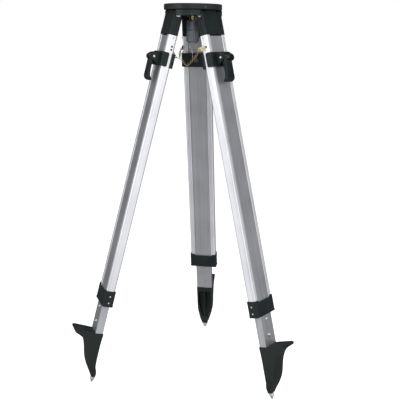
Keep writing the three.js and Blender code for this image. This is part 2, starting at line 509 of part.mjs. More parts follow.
// spread-limiting chain: three strands that meet at a ring under the head
const world = (k, t, h, s) => V3(t, h, -s).applyMatrix4(legMatrix(LEGS.find((q) => q[0] === k)[1]));
const J = V3(-40.5, 17, 920);
const eyeB = world('back', -43.4, -17.5, 90);
const eyeR = world('right', 43.4, -17.5, 92);
const eyeL = world('left', 33, -18.5, 94);
const strandB = tube([eyeB, V3(eyeB.x - 0.4, (eyeB.y * 2 + J.y) / 3, (eyeB.z * 2 + J.z) / 3 - 4), V3(J.x, J.y + 7, J.z + 0.4)], 1.5, 10, 6);
const ring = (() => { const g = new THREE.TorusGeometry(5, 1.1, 6, 16); g.rotateY(Math.PI / 2); g.rotateZ(0.25); g.translate(J.x, J.y, J.z); return solid(g); })();
put('chain_back', strandB, 'brass');
put('chain_ring', ring, 'brass');
const midL = V3((eyeL.x + J.x) / 2 + 1, (eyeL.y + J.y) / 2 - 4, Math.min(eyeL.z, J.z) - 18);
put('chain_left', tube([eyeL, midL, V3(J.x - 2.6, J.y - 7, J.z - 2)], 1.5, 14, 6), 'brass');
put('chain_right', tube([eyeR, V3(17, -42, 926), V3(1.5, -2.4, 917.5), V3(-9, 3, 904), V3(-16, 8, 899), V3(-25, 12, 906), V3(J.x + 6.4, J.y - 3.4, J.z - 3.6)], 1.5, 26, 6), 'brass');

// centre the footprint on the origin and stand the points on the floor
const box = new THREE.Box3().setFromObject(group);
const cx = Math.round(((box.min.x + box.max.x) / 2) * 1000) / 1000;
const cy = Math.round(((box.min.y + box.max.y) / 2) * 1000) / 1000;
const cz = Math.round(box.min.z * 1000) / 1000;
group.traverse((o) => { if (o.isMesh) o.geometry.translate(-cx, -cy, -cz); });

export default group;
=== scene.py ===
import bpy, bmesh, math, random
import numpy as np
from mathutils import Matrix, Vector


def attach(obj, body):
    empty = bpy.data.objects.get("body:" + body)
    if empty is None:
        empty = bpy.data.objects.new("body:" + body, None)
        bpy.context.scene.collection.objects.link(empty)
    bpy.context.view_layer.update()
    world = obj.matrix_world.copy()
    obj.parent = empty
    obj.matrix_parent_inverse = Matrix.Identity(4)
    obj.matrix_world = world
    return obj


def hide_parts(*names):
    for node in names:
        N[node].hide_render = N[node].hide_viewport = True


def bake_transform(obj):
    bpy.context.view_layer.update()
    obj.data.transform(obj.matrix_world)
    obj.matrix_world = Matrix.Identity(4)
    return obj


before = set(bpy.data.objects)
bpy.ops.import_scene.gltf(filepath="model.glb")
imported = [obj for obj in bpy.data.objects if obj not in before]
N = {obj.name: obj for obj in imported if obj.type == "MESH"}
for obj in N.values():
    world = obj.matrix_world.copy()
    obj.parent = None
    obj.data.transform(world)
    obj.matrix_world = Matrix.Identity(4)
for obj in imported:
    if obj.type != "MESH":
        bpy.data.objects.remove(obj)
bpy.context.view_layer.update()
random.seed(7)

# --------------------------------------------------------------------------
# camera
# --------------------------------------------------------------------------
def make_camera():
    pitch, yaw, roll = 0.2329377, -0.1628975, 0.0128929
    f_px = 697.2366
    fwd = Vector((math.sin(yaw) * math.cos(pitch), math.cos(yaw) * math.cos(pitch), -math.sin(pitch)))
    right0 = Vector((math.cos(yaw), -math.sin(yaw), 0.0))
    up0 = right0.cross(fwd)
    right = right0 * math.cos(roll) + up0 * math.sin(roll)
    up = up0 * math.cos(roll) - right0 * math.sin(roll)
    cam = bpy.data.cameras.new("camera")
    cam.sensor_width = 36.0
    cam.lens = f_px * 36.0 / 400.0
    cam.clip_start, cam.clip_end = 0.05, 400.0
    o = bpy.data.objects.new("camera", cam)
    m = Matrix.Identity(4)
    for i in range(3):
        m[i][0], m[i][1], m[i][2] = right[i], up[i], -fwd[i]
    m[0][3], m[1][3], m[2][3] = 0.3410102, -1.9934384, 0.9819354
    o.matrix_world = m
    bpy.context.scene.collection.objects.link(o)
    bpy.context.scene.camera = o
    return o

make_camera()

# --------------------------------------------------------------------------
# materials
# --------------------------------------------------------------------------
class Tree:
    def __init__(self, name):
        self.m = bpy.data.materials.new(name)
        self.m.use_nodes = True
        self.t = self.m.node_tree
        self.n = self.t.nodes
        self.b = self.n["Principled BSDF"]

    def add(self, kind, **props):
        x = self.n.new(kind)
        for k, v in props.items():
            setattr(x, k, v)
        return x

    def link(self, a, b):
        self.t.links.new(a, b)

    def coords(self, matrix=None, scale=(1, 1, 1)):
        tc = self.add("ShaderNodeTexCoord")
        out = tc.outputs["Object"]
        if matrix is not None:
            mp = self.add("ShaderNodeMapping", vector_type="TEXTURE")
            mp.inputs["Location"].default_value = matrix.to_translation()
            mp.inputs["Rotation"].default_value = matrix.to_euler("XYZ")
            self.link(out, mp.inputs["Vector"])
            out = mp.outputs["Vector"]
        if tuple(scale) != (1, 1, 1):
            sc = self.add("ShaderNodeMapping", vector_type="POINT")
            sc.inputs["Scale"].default_value = scale
            self.link(out, sc.inputs["Vector"])
            out = sc.outputs["Vector"]
        return out

    def noise(self, vec, scale, detail=3.0, rough=0.55):
        x = self.add("ShaderNodeTexNoise")
        x.inputs["Scale"].default_value = scale
        x.inputs["Detail"].default_value = detail
        x.inputs["Roughness"].default_value = rough
        self.link(vec, x.inputs["Vector"])
        return x.outputs["Fac"]

    def ramp(self, fac, stops):
        x = self.add("ShaderNodeValToRGB")
        e = x.color_ramp.elements
        e[0].position, e[0].color = stops[0][0], rgba(stops[0][1])
        e[1].position, e[1].color = stops[-1][0], rgba(stops[-1][1])
        for p, c in stops[1:-1]:
            q = e.new(p)
            q.color = rgba(c)
        self.link(fac, x.inputs["Fac"])
        return x.outputs["Color"]

    def span(self, fac, lo, hi, f0=0.0, f1=1.0):
        x = self.add("ShaderNodeMapRange")
        x.inputs["From Min"].default_value = f0
        x.inputs["From Max"].default_value = f1
        x.inputs["To Min"].default_value = lo
        x.inputs["To Max"].default_value = hi
        self.link(fac, x.inputs["Value"])
        return x.outputs["Result"]

    def math(self, op, a, b):
        x = self.add("ShaderNodeMath", operation=op)
        for i, v in enumerate((a, b)):
            if isinstance(v, (int, float)):
                x.inputs[i].default_value = v
            else:
                self.link(v, x.inputs[i])
        return x.outputs[0]

    def mix(self, fac, a, b):
        x = self.add("ShaderNodeMix", data_type="RGBA")
        self.link(fac, x.inputs["Factor"])
        for sock, v in ((x.inputs[6], a), (x.inputs[7], b)):
            if isinstance(v, tuple):
                sock.default_value = rgba(v)
            else:
                self.link(v, sock)
        return x.outputs[2]

    def edges(self, radius):
        """0 on flats, rising to 1 along sharp edges."""
        bv = self.add("ShaderNodeBevel", samples=4)
        bv.inputs["Radius"].default_value = radius
        geo = self.add("ShaderNodeNewGeometry")
        d = self.add("ShaderNodeVectorMath", operation="DOT_PRODUCT")
        self.link(bv.outputs["Normal"], d.inputs[0])
        self.link(geo.outputs["Normal"], d.inputs[1])
        return self.span(d.outputs["Value"], 1.0, 0.0, 0.80, 0.99)

    def bump(self, height, strength, dist):
        x = self.add("ShaderNodeBump")
        x.inputs["Strength"].default_value = strength
        x.inputs["Distance"].default_value = dist
        self.link(height, x.inputs["Height"])
        self.link(x.outputs["Normal"], self.b.inputs["Normal"])
        return x

    def colour(self, sock):
        self.link(sock, self.b.inputs["Base Color"])

    def rough(self, sock):
        self.link(sock, self.b.inputs["Roughness"])


def rgba(c):
    return (c[0], c[1], c[2], 1.0)


def black(name, tint, rough_lo, rough_hi, grain, grain_bump, wear=0.5, wear_tint=(0.10, 0.105, 0.11), spec=0.3):
    t = Tree(name)
    t.b.inputs["Specular IOR Level"].default_value = spec
    v = t.coords()
    big = t.noise(v, 22.0, 4.0)
    fine = t.noise(v, grain, 2.0, 0.5)
    base = t.ramp(big, [(0.30, tuple(x * 0.72 for x in tint)), (0.55, tint), (0.78, tuple(x * 1.45 for x in tint))])
    e = t.edges(0.0006)
    worn = t.math("MULTIPLY", t.math("MULTIPLY", e, t.span(t.noise(v, 90.0, 4.0), 0.0, 1.0, 0.42, 0.66)), wear)
    t.colour(t.mix(worn, base, wear_tint))
    t.rough(t.span(t.math("ADD", t.math("MULTIPLY", big, 0.6), t.math("MULTIPLY", fine, 0.4)), rough_lo, rough_hi, 0.3, 0.7))
    t.bump(fine, grain_bump, 0.0002)
    return t.m


def aluminium(name, matrix, tint, rough_lo, rough_hi, metallic=0.75):
    """Anodised extrusion: fine drawn lines along the leg, a slow cloudiness and a painted highlight along the sharp
    edges.
    """
    t = Tree(name)
    along = t.coords(matrix, (1.0, 1.0, 0.012))
    plain = t.coords(matrix)
    lines = t.noise(along, 900.0, 2.0, 0.6)
    bands = t.noise(along, 160.0, 2.0, 0.5)
    cloud = t.noise(plain, 9.0, 3.0)
    specks = t.noise(plain, 420.0, 2.0)
    dark = tuple(x * 0.86 for x in tint)
    lite = tuple(min(1.0, x * 1.10) for x in tint)
    base = t.ramp(t.math("ADD", t.math("MULTIPLY", bands, 0.5), t.math("MULTIPLY", cloud, 0.5)), [(0.36, dark), (0.5, tint), (0.66, lite)])
    # painted highlight: the base colour is lightened along sharp edges to stand in for the light caught on the rounded
    # corners
    e = t.edges(0.0005)
    base = t.mix(t.math("MULTIPLY", e, 0.35), base, tuple(min(1.0, x * 1.35) for x in tint))
    scuff = t.span(specks, 0.0, 0.30, 0.62, 0.78)
    t.colour(t.mix(scuff, base, tuple(x * 0.7 for x in tint)))
    t.rough(t.span(t.math("ADD", t.math("MULTIPLY", lines, 0.6), t.math("MULTIPLY", cloud, 0.4)), rough_lo, rough_hi, 0.32, 0.68))
    t.b.inputs["Metallic"].default_value = metallic
    t.bump(lines, 0.18, 0.00006)
    return t.m


def metal(name, tint, rough_lo, rough_hi, scale=60.0, dark=0.6, bump=0.12, metallic=1.0):
    t = Tree(name)
    v = t.coords()
    big = t.noise(v, scale, 4.0)
    fine = t.noise(v, scale * 14, 2.0)
    base = t.ramp(big, [(0.3, tuple(x * dark for x in tint)), (0.52, tint), (0.75, tuple(min(1.0, x * 1.12) for x in tint))])
    t.colour(base)
    t.rough(t.span(big, rough_lo, rough_hi, 0.3, 0.7))
    t.b.inputs["Metallic"].default_value = metallic
    t.bump(fine, bump, 0.00008)
    return t.m


def leg_matrix(az, splay=14.5):
    """Leg frame in metres: x along the hinge axis, y outward, z up the leg."""
    return (Matrix.Translation((0, -0.076221, -0.000027))
            @ Matrix.Rotation(math.radians(-az), 4, "Z")
            @ Matrix.Translation((0, 0.0535, 1.0348))
            @ Matrix.Rotation(math.radians(splay), 4, "X"))


LEGS = {"back": 0.0, "right": 120.0, "left": 240.0}
LM = {k: leg_matrix(a) for k, a in LEGS.items()}

MAT = {}
MAT["casting"] = black("painted_casting", (0.0075, 0.0150, 0.0150), 0.30, 0.46, 1400.0, 0.16, 0.55, spec=0.30)
MAT["plastic"] = black("moulded_black", (0.0070, 0.0140, 0.0138), 0.34, 0.50, 2200.0, 0.20, 0.35, (0.05, 0.055, 0.06), spec=0.26)
MAT["grip"] = black("knob_grey", (0.165, 0.178, 0.210), 0.22, 0.36, 1800.0, 0.10, 0.4, (0.22, 0.24, 0.27), spec=0.6)
MAT["foot"] = black("foot_casting", (0.0075, 0.0130, 0.0125), 0.34, 0.54, 900.0, 0.30, 0.7, (0.12, 0.12, 0.115), spec=0.30)
MAT["steel"] = metal("plated_steel", (0.62, 0.63, 0.64), 0.20, 0.38)
MAT["point"] = metal("turned_steel", (0.66, 0.66, 0.66), 0.26, 0.42, 90.0)
MAT["brass"] = metal("brass", (0.78, 0.60, 0.30), 0.20, 0.36, 70.0)
MAT["chain"] = metal("chain_brassed", (0.66, 0.56, 0.37), 0.18, 0.34, 120.0)
MAT["dull"] = metal("dull_zinc", (0.15, 0.13, 0.10), 0.42, 0.60, 80.0)
for k in LEGS:
    MAT["rail_" + k] = aluminium("rail_alu_" + k, LM[k], (0.80, 0.81, 0.85), 0.26, 0.42, 0.70)
    # darker tint of the inner tube: partly its own finish, partly painted shade for its recess between the rails
    MAT["tube_" + k] = aluminium("tube_alu_" + k, LM[k], (0.45, 0.46, 0.49), 0.30, 0.48, 0.70)


def pick(name):
    for k in LEGS:
        if name.endswith("_" + k) or ("_" + k + "_") in name:
            if name.startswith("rail_"):
                return MAT["rail_" + k]
            if name.startswith("slide_tube"):
                return MAT["tube_" + k]
    for start, m in (("head_plate", "casting"), ("screw_arm", "casting"), ("arm_pivot", "steel"), ("screw_bushing", "brass"), ("centre_screw", "brass"),
                     ("screw_knob", "grip"), ("plumb_hook", "steel"), ("hinge_bracket", "plastic"), ("hinge_", "steel"), ("guide_band", "plastic"),
                     ("foot_point", "point"), ("foot_bolt", "steel"), ("foot_", "foot"), ("clamp_bolt", "dull"), ("clamp_", "plastic"),
                     ("lever_pin", "steel"), ("chain", "chain")):
        if name.startswith(start):
            return MAT[m]
    return MAT["steel"]


for name, o in N.items():
    o.data.materials.clear()
    o.data.materials.append(pick(name))

# --------------------------------------------------------------------------
# mesh helpers; all sizes in millimetres until place()
# --------------------------------------------------------------------------
def inset(loop, d):
    """Moves an outline into its material by d. Outer loops run anticlockwise, holes clockwise."""
    if abs(d) < 1e-9:
        return list(loop)
    p = np.array(loop, float)
    e = np.roll(p, -1, 0) - p
    e /= np.maximum(np.linalg.norm(e, axis=1), 1e-9)[:, None]
    n = np.stack([-e[:, 1], e[:, 0]], 1)
    m = np.roll(n, 1, 0)
    k = 1.0 + (n * m).sum(1)
    return [tuple(q) for q in p + d * (n + m) / np.maximum(k, 0.35)[:, None]]


def ccw(loop, want=True):
    a = sum(loop[i - 1][0] * loop[i][1] - loop[i][0] * loop[i - 1][1] for i in range(len(loop)))
    return list(loop) if (a > 0) == want else list(reversed(loop))


def prism(outer, z0, z1, r=0.0, seg=3, holes=(), levels=None, to=lambda x, y, z: (x, y, z), rh=None):
    """Closed solid: an outline swept from z0 to z1, with its end edges rounded by r."""
    outer = ccw(outer)
    holes = [ccw(h, False) for h in holes]
    rh = r if rh is None else rh
    if levels is None:
        if r <= 0:
            levels = [(z0, 0, 0), (z1, 0, 0)]
        else:
            a = [math.radians(90 * i / seg) for i in range(seg + 1)]
            levels = [(z0 + r * (1 - math.cos(q)), r * (1 - math.sin(q)), rh * (1 - math.sin(q))) for q in a]
            levels += [(z1 - r * (1 - math.cos(q)), r * (1 - math.sin(q)), rh * (1 - math.sin(q))) for q in reversed(a)]
    bm = bmesh.new()
    ends = [[], []]
    for li, loop in enumerate([outer, *holes]):
        rings = []
        for lv in levels:
            d = lv[1] if li == 0 else (lv[2] if len(lv) > 2 else lv[1])
            rings.append([bm.verts.new(to(x, y, lv[0])) for x, y in inset(loop, d)])
        k = len(loop)
        for a, b in zip(rings[:-1], rings[1:]):
            for i in range(k):
                bm.faces.new((a[i], a[(i + 1) % k], b[(i + 1) % k], b[i]))
        ends[0].append(rings[0])
        ends[1].append(rings[-1])
    for side, rings in enumerate(ends):
        if len(rings) == 1:
            bm.faces.new(list(reversed(rings[0])) if side == 0 else rings[0])
        else:
            edges = []
            for ring in rings:
                for i in range(len(ring)):
                    edges.append(bm.edges.get((ring[i], ring[(i + 1) % len(ring)])))
            bmesh.ops.triangle_fill(bm, use_beauty=True, edges=edges)
    bmesh.ops.recalc_face_normals(bm, faces=bm.faces[:])
    return bm


def lathe(profile, n=64, radius=None, ring=False):
    """Turned solid about z. profile: (r, z) points; radius(r, z, angle) may shape it. ring closes the profile on itself."""
    bm = bmesh.new()
    rows = []
    for r, z in profile:
        if r < 1e-6:
            rows.append([bm.verts.new((0, 0, z))])
            continue
        row = []
        for i in range(n):
            a = 2 * math.pi * i / n
            q = radius(r, z, a) if radius else r
            row.append(bm.verts.new((q * math.cos(a), q * math.sin(a), z)))
        rows.append(row)
    pairs = list(zip(rows[:-1], rows[1:])) + ([(rows[-1], rows[0])] if ring else [])
    for a, b in pairs:
        if len(a) == 1 and len(b) == 1:
            continue
        for i in range(n):
            j = (i + 1) % n
            if len(a) == 1:
                bm.faces.new((a[0], b[j], b[i]))
            elif len(b) == 1:
                bm.faces.new((a[i], a[j], b[0]))
            else:
                bm.faces.new((a[i], a[j], b[j], b[i]))
    bmesh.ops.recalc_face_normals(bm, faces=bm.faces[:])
    return bm


def smooth_path(points, per=8, closed=False):
    """Catmull-Rom through the points."""
    p = [Vector(q) for q in points]
    n = len(p)
    out = []
    for i in range(n if closed else n - 1):
        if closed:
            a, b, c, d = p[i - 1], p[i], p[(i + 1) % n], p[(i + 2) % n]
        else:
            b, c = p[i], p[i + 1]
            a = p[i - 1] if i else b + (b - c)
            d = p[i + 2] if i + 2 < n else c + (c - b)
        for k in range(per):
            t = k / per
            out.append(0.5 * ((2 * b) + (c - a) * t + (2 * a - 5 * b + 4 * c - d) * t * t + (3 * b - a - 3 * c + d) * t ** 3))
    if not closed:
        out.append(p[-1])
    return out


def sweep(path, r, sides=10, closed=False, bm=None, taper=None):
    """Round wire along a path, with rounded ends where it's open."""
    bm = bm or bmesh.new()
    P = [Vector(q) for q in path]
    n = len(P)
    tan = []
    for i in range(n):
        a = P[i - 1] if (closed or i) else P[i]
        b = P[(i + 1) % n] if (closed or i < n - 1) else P[i]
        tan.append((b - a).normalized())
    up = Vector((0, 0, 1)) if abs(tan[0].z) < 0.9 else Vector((1, 0, 0))
    u = tan[0].cross(up).normalized()
    frames = []
    for i in range(n):
        if i:
            q = tan[i - 1].rotation_difference(tan[i])
            u = (q @ u).normalized()
        frames.append((u.copy(), tan[i].cross(u).normalized()))
    if closed:  # spread the leftover twist round the loop
        q = tan[-1].rotation_difference(tan[0])
        back = (q @ frames[-1][0]).normalized()
        ang = math.atan2(back.dot(frames[0][1]), back.dot(frames[0][0]))
        frames = [((a * math.cos(-ang * i / n) + b * math.sin(-ang * i / n)), (b * math.cos(-ang * i / n) - a * math.sin(-ang * i / n))) for i, (a, b) in enumerate(frames)]
    rings = []

    def ring(c, f, q):
        return [bm.verts.new(c + (f[0] * math.cos(2 * math.pi * k / sides) + f[1] * math.sin(2 * math.pi * k / sides)) * q) for k in range(sides)]
    if not closed:
        for ang in (70, 40):
            rings.append(ring(P[0] - tan[0] * r * 0.8 * math.sin(math.radians(ang)), frames[0], r * math.cos(math.radians(ang))))
    for i in range(n):
        rings.append(ring(P[i], frames[i], r * (taper(i / (n - 1)) if taper else 1)))
    if not closed:
        for ang in (40, 70):
            rings.append(ring(P[-1] + tan[-1] * r * 0.8 * math.sin(math.radians(ang)), frames[-1], r * math.cos(math.radians(ang))))
    pairs = list(zip(rings[:-1], rings[1:])) + ([(rings[-1], rings[0])] if closed else [])
    for a, b in pairs:
        for k in range(sides):
            bm.faces.new((a[k], a[(k + 1) % sides], b[(k + 1) % sides], b[k]))
    if not closed:
        bm.faces.new(list(reversed(rings[0])))
        bm.faces.new(rings[-1])
    return bm


def rr(x0, x1, y0, y1, r, n=6):
    rs = r if isinstance(r, (list, tuple)) else (r, r, r, r)
    out = []
    for cx, cy, a0, q in ((x1 - rs[0], y1 - rs[0], 0, rs[0]), (x0 + rs[1], y1 - rs[1], 90, rs[1]), (x0 + rs[2], y0 + rs[2], 180, rs[2]), (x1 - rs[3], y0 + rs[3], 270, rs[3])):
        if q < 0.02:
            out.append((cx, cy))
            continue
        for i in range(n + 1):
            a = math.radians(a0 + 90 * i / n)
            out.append((cx + q * math.cos(a), cy + q * math.sin(a)))
    return out


def disc(r, n=24, cx=0.0, cy=0.0, a0=0.0):
    return [(cx + r * math.cos(a0 + 2 * math.pi * i / n), cy + r * math.sin(a0 + 2 * math.pi * i / n)) for i in range(n)]


def spline2(points, per=5):
    return [(q.x, q.y) for q in smooth_path([(x, y, 0) for x, y in points], per, True)]


# leg-frame mappings: (h, s) seen from the side, swept along t; (t, s) seen from the front, swept along h; (t, h) swept along s
SIDE = lambda h, s, t: (t, h, -s)
FRONT = lambda t, s, h: (t, h, -s)
ALONG = lambda t, h, s: (t, h, -s)


def mesh_of(bm, name):
    me = bpy.data.meshes.new(name)
    bm.normal_update()
    bm.to_mesh(me)
    bm.free()
    return me


def raw(bm, name="tmp"):
    o = bpy.data.objects.new(name, mesh_of(bm, name))
    bpy.context.scene.collection.objects.link(o)
    return o


def carve(base, *steps):
    """base and cutters are bmeshes; steps are (operation, bmesh). Returns a bmesh of the applied result."""
    o = raw(base, "base")
    used = [o]
    for op, bm in steps:
        c = raw(bm, "cut")
        used.append(c)
        m = o.modifiers.new("b", "BOOLEAN")
        m.operation = op
        m.solver = "EXACT"
        m.object = c
    bpy.context.view_layer.update()
    dg = bpy.context.evaluated_depsgraph_get()
    me = bpy.data.meshes.new_from_object(o.evaluated_get(dg))
    out = bmesh.new()
    out.from_mesh(me)
    for q in used:
        bpy.data.objects.remove(q)
    bpy.data.meshes.remove(me)
    bmesh.ops.remove_doubles(out, verts=out.verts[:], dist=0.004)
    bmesh.ops.dissolve_degenerate(out, edges=out.edges[:], dist=0.002)
    return out


SUB, ADD, CUT = "DIFFERENCE", "UNION", "INTERSECT"


def turned(bm, matrix):
    bmesh.ops.transform(bm, matrix=matrix, verts=bm.verts[:])
    return bm


def joined(*bms):
    """Several closed shells that don't touch, as one mesh."""
    out = bmesh.new()
    for b in bms:
        me = mesh_of(b, "j")
        out.from_mesh(me)
        bpy.data.meshes.remove(me)
    return out


HEAD = Matrix.Translation((0, -0.076221, 1.0348 - 0.000027))   # head axis, hinge height


def place(name, bm, material, matrix, body=None, replaces=(), bevel=0.0, seg=2, smooth=True):
    me = mesh_of(bm, name)
    me.transform(matrix @ Matrix.Scale(0.001, 4))
    for p in me.polygons:
        p.use_smooth = smooth
    o = bpy.data.objects.new(name, me)
    bpy.context.scene.collection.objects.link(o)
    me.materials.append(material)
    if bevel:
        b = o.modifiers.new("round", "BEVEL")
        b.width = bevel * 0.001
        b.segments = seg
        b.limit_method = "ANGLE"
        b.angle_limit = math.radians(32.0)
    wn = o.modifiers.new("shade", "WEIGHTED_NORMAL")
    wn.keep_sharp = False
    if body:
        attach(o, body)
    if replaces:
        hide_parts(*replaces)
    return o


RX = Matrix.Rotation(math.radians(90), 4, "Y")      # turned about z -> about +x


def rz(a):
    return Matrix.Rotation(math.radians(-a), 4, "Z")


# --------------------------------------------------------------------------
# head casting
# --------------------------------------------------------------------------
def head_piece():
    R = 78.5
    prof = [(30.0, 11.2), (30.6, 10.6), (60, 10.6), (R - 2.0, 10.6), (R - 1.5, 10.7), (R - 1.5, 11.3), (R - 0.5, 11.7), (R - 0.1, 12.4), (R, 13.2),
            (R, 23.6), (R - 0.2, 24.8), (R - 0.8, 25.8), (R - 1.8, 26.3), (R - 3.0, 26.5), (71.2, 26.5), (70.9, 26.15), (70.3, 26.15), (70.0, 26.5),
            (44.3, 26.5), (44.0, 26.2), (43.4, 26.2), (43.1, 26.5), (32.0, 26.5), (30.9, 26.1), (30.2, 25.2), (30.0, 24.4)]
    plate = lathe(prof, 144, ring=True)
    lugs, tongues, steps = [], [], []
    a1, a2 = math.asin(44.5 / R), math.asin(44.5 / 60.0)
    for c in (60, 180, 300):
        out = []
        lo, hi = a1 + math.radians(c - 60), math.radians(c + 60) - a1
        for i in range(29):
            a = lo + (hi - lo) * i / 28
            out.append((R * math.sin(a), R * math.cos(a)))
        lo, hi = a2 + math.radians(c - 60), math.radians(c + 60) - a2
        for i in range(13):
            a = hi + (lo - hi) * i / 12
            out.append((60 * math.sin(a), 60 * math.cos(a)))
        lv = [(-5.0, 1.2), (-4.8, 0.6), (-4.2, 0.15), (-3.6, 0), (2.1, 0), (2.35, 0.45), (2.9, 0.45), (3.15, 0), (9.0, 0), (9.4, 0.3), (9.6, 1.3), (10.9, 1.3)]
        lugs.append(prism(out, 0, 0, levels=lv))
    for c in (0, 120, 240):
        o = [(9.5 * math.cos(math.radians(180 + 180 * i / 20)), 9.5 * math.sin(math.radians(180 + 180 * i / 20))) for i in range(21)]
        o += [(9.5, 8.0), (11.5, 10.9), (-11.5, 10.9), (-9.5, 8.0)]
        t = prism(o, -22, 22, 0.8, 2, holes=[disc(4.35, 24)], to=lambda h, z, t: (t, h, z), rh=0.5)
        tongues.append(turned(t, rz(c) @ Matrix.Translation((0, 53.5, 0))))
    # pivot seat and shallow screw seats in the rim
    steps.append((SUB, turned(prism(disc(3.35, 20), 5, 14.6), rz(60) @ Matrix.Translation((0, 48, 0)))))
    for c in (25, 145, 265):
        seat = lathe([(0, -4), (2.0, -4), (2.4, 2), (0, 2)], 20)
        steps.append((SUB, turned(seat, rz(c) @ Matrix.Translation((0, R, 17.6)) @ Matrix.Rotation(math.radians(-90), 4, "X"))))
    bm = carve(plate, *steps)
    place("head_casting", bm, MAT["casting"], HEAD, "head", ["head_plate"])
    place("head_skirt", joined(*lugs), MAT["casting"], HEAD, "head")
    place("head_tongues", joined(*tongues), MAT["casting"], HEAD, "head")
    for i, c in enumerate((25, 145, 265)):
        s = lathe([(0, -3.4), (1.3, -3.4), (1.3, -0.9), (1.0, -0.45), (0.7, -0.3), (0.6, -0.9), (0, -1.1)], 20)
        place("rim_screw_%d" % i, turned(s, rz(c) @ Matrix.Translation((0, R, 17.6)) @ Matrix.Rotation(math.radians(-90), 4, "X")), MAT["steel"], HEAD, "head")


head_piece()


# --------------------------------------------------------------------------
# clamping screw, bush, knob, plumb hook
# --------------------------------------------------------------------------
def screw_pieces():
    def hub(r, z, a):
        return r - 0.42 * (0.5 - 0.5 * math.cos(28 * a)) if -13.9 < z < -7.4 and r > 9 else r
    b0 = -2.1 - 0.4
    prof = [(5.3, -15), (8.8, -15), (9.2, -14.7), (9.4, -14.0), (9.4, -13.6), (9.4, -12), (9.4, -10), (9.4, -8), (9.2, -7.3), (9.2, b0 - 4.6), (9.6, b0 - 4.3), (14.3, b0 - 4.2), (14.8, b0 - 3.9), (15, b0 - 3.4),
            (15, b0 - 0.6), (14.8, b0 - 0.15), (14.4, b0), (8.2, b0), (8.2, 1.8), (5.3, 1.8)]
    place("brass_bush", lathe(prof, 112, hub, ring=True), MAT["brass"], HEAD, "carriage", ["screw_bushing"])

    pitch = 2.309

    def thread(r, z, a):
        if 5.2 < z < 22.2 and r > 7:
            ph = (z / pitch - a / (2 * math.pi)) % 1.0
            fade = min(1.0, (z - 5.2) / 1.5, (22.2 - z) / 1.2)
            return 7.9 - 1.15 * fade * abs(2 * ph - 1)
        return r
    prof = [(0, -34), (4.4, -34), (5, -33.4), (5, 2.2), (10.6, 2.2), (11, 2.6), (11, 4.0), (10.6, 4.4), (7.9, 4.6)]
    z = 4.9
    while z < 22.4:
        prof.append((7.9, z))
        z += 0.2
    prof += [(7.7, 22.7), (6.6, 23.8), (3.2, 23.8), (2.9, 23.4), (2.9, 20.5), (0, 19.6)]
    place("clamping_screw", lathe(prof, 48, thread), MAT["brass"], HEAD, "screw", ["centre_screw"])

    def flute(r, z, a):
        if -70.6 < z < -44.0 and r > 15:
            e = min(1.0, (z + 70.6) / 1.6, (-44.0 - z) / 1.6)
            w = abs(math.cos(9 * a))
            return r - 1.5 * max(0.0, e) * (1 - w) ** 0.8 * 0.9
        return r
    prof = [(0, -73.4), (9, -73.4), (9.6, -73.6), (12.6, -73.6), (14.4, -73.0), (16.0, -71.8), (16.9, -70.2), (17.2, -68.8)]
    prof += [(17.2, z) for z in (-66, -62, -58, -54, -50, -47)] + [(17.2, -45), (17.1, -43.6), (16.6, -42.2), (15.9, -41.5), (15.4, -41.2), (15.2, -40.7), (15.4, -40.2), (16.0, -39.8), (16.5, -39.2),
             (16.6, -38), (16.6, -30), (16.6, -21), (16.4, -19.4), (15.6, -17.8), (14.3, -16.8), (13, -16.4), (6.2, -16.4), (5.4, -17.2), (5.4, -19), (0, -19)]
    place("grip_knob", lathe(prof, 216, flute), MAT["grip"], HEAD, "screw", ["screw_knob"])

    bail = smooth_path([(-9.7, 0, -71.5), (-9.6, 0, -75.5), (-8.9, 0, -80.5), (-6.2, 0, -87.5), (-3.2, 0, -94.5), (-1.5, 0, -98.0), (0, 0, -99.2), (1.5, 0, -98.0), (3.2, 0, -94.5), (6.2, 0, -87.5), (8.9, 0, -80.5), (9.6, 0, -75.5), (9.7, 0, -71.5)], 6)
    hook = smooth_path([(0.4, 1.4, -96.2), (-0.4, 1.6, -98.6), (0, 0.2, -100.6), (0.1, -0.2, -104.5), (0, 0, -109), (0, 0.3, -112.4), (0, 1.5, -115.2), (0, 3.4, -115.6), (0, 5.0, -114.0), (0, 5.3, -111.2)], 6)
    bm = sweep(bail, 1.15, 12)
    bm = sweep(hook, 1.0, 12, bm=bm)
    for sx in (-1, 1):   # little collars where the bail enters the knob
        c = lathe([(0, -75.4), (2.2, -75.4), (2.6, -74.9), (2.6, -73.7), (0, -73.7)], 20)
        turned(c, Matrix.Translation((9.6 * sx, 0, 0)))
        me = mesh_of(c, "c")
        bm.from_mesh(me)
    place("plumb_bail", bm, MAT["steel"], HEAD, "screw", ["plumb_hook"])


screw_pieces()


# --------------------------------------------------------------------------
# chain
# --------------------------------------------------------------------------
def to_row(p):
    return Vector((p[0], p[1] - 76.221, p[2] - 0.027))


def leg_point(k, t, h, s):
    return LM[k] @ (Vector((t, h, -s)) * 0.001) * 1000.0


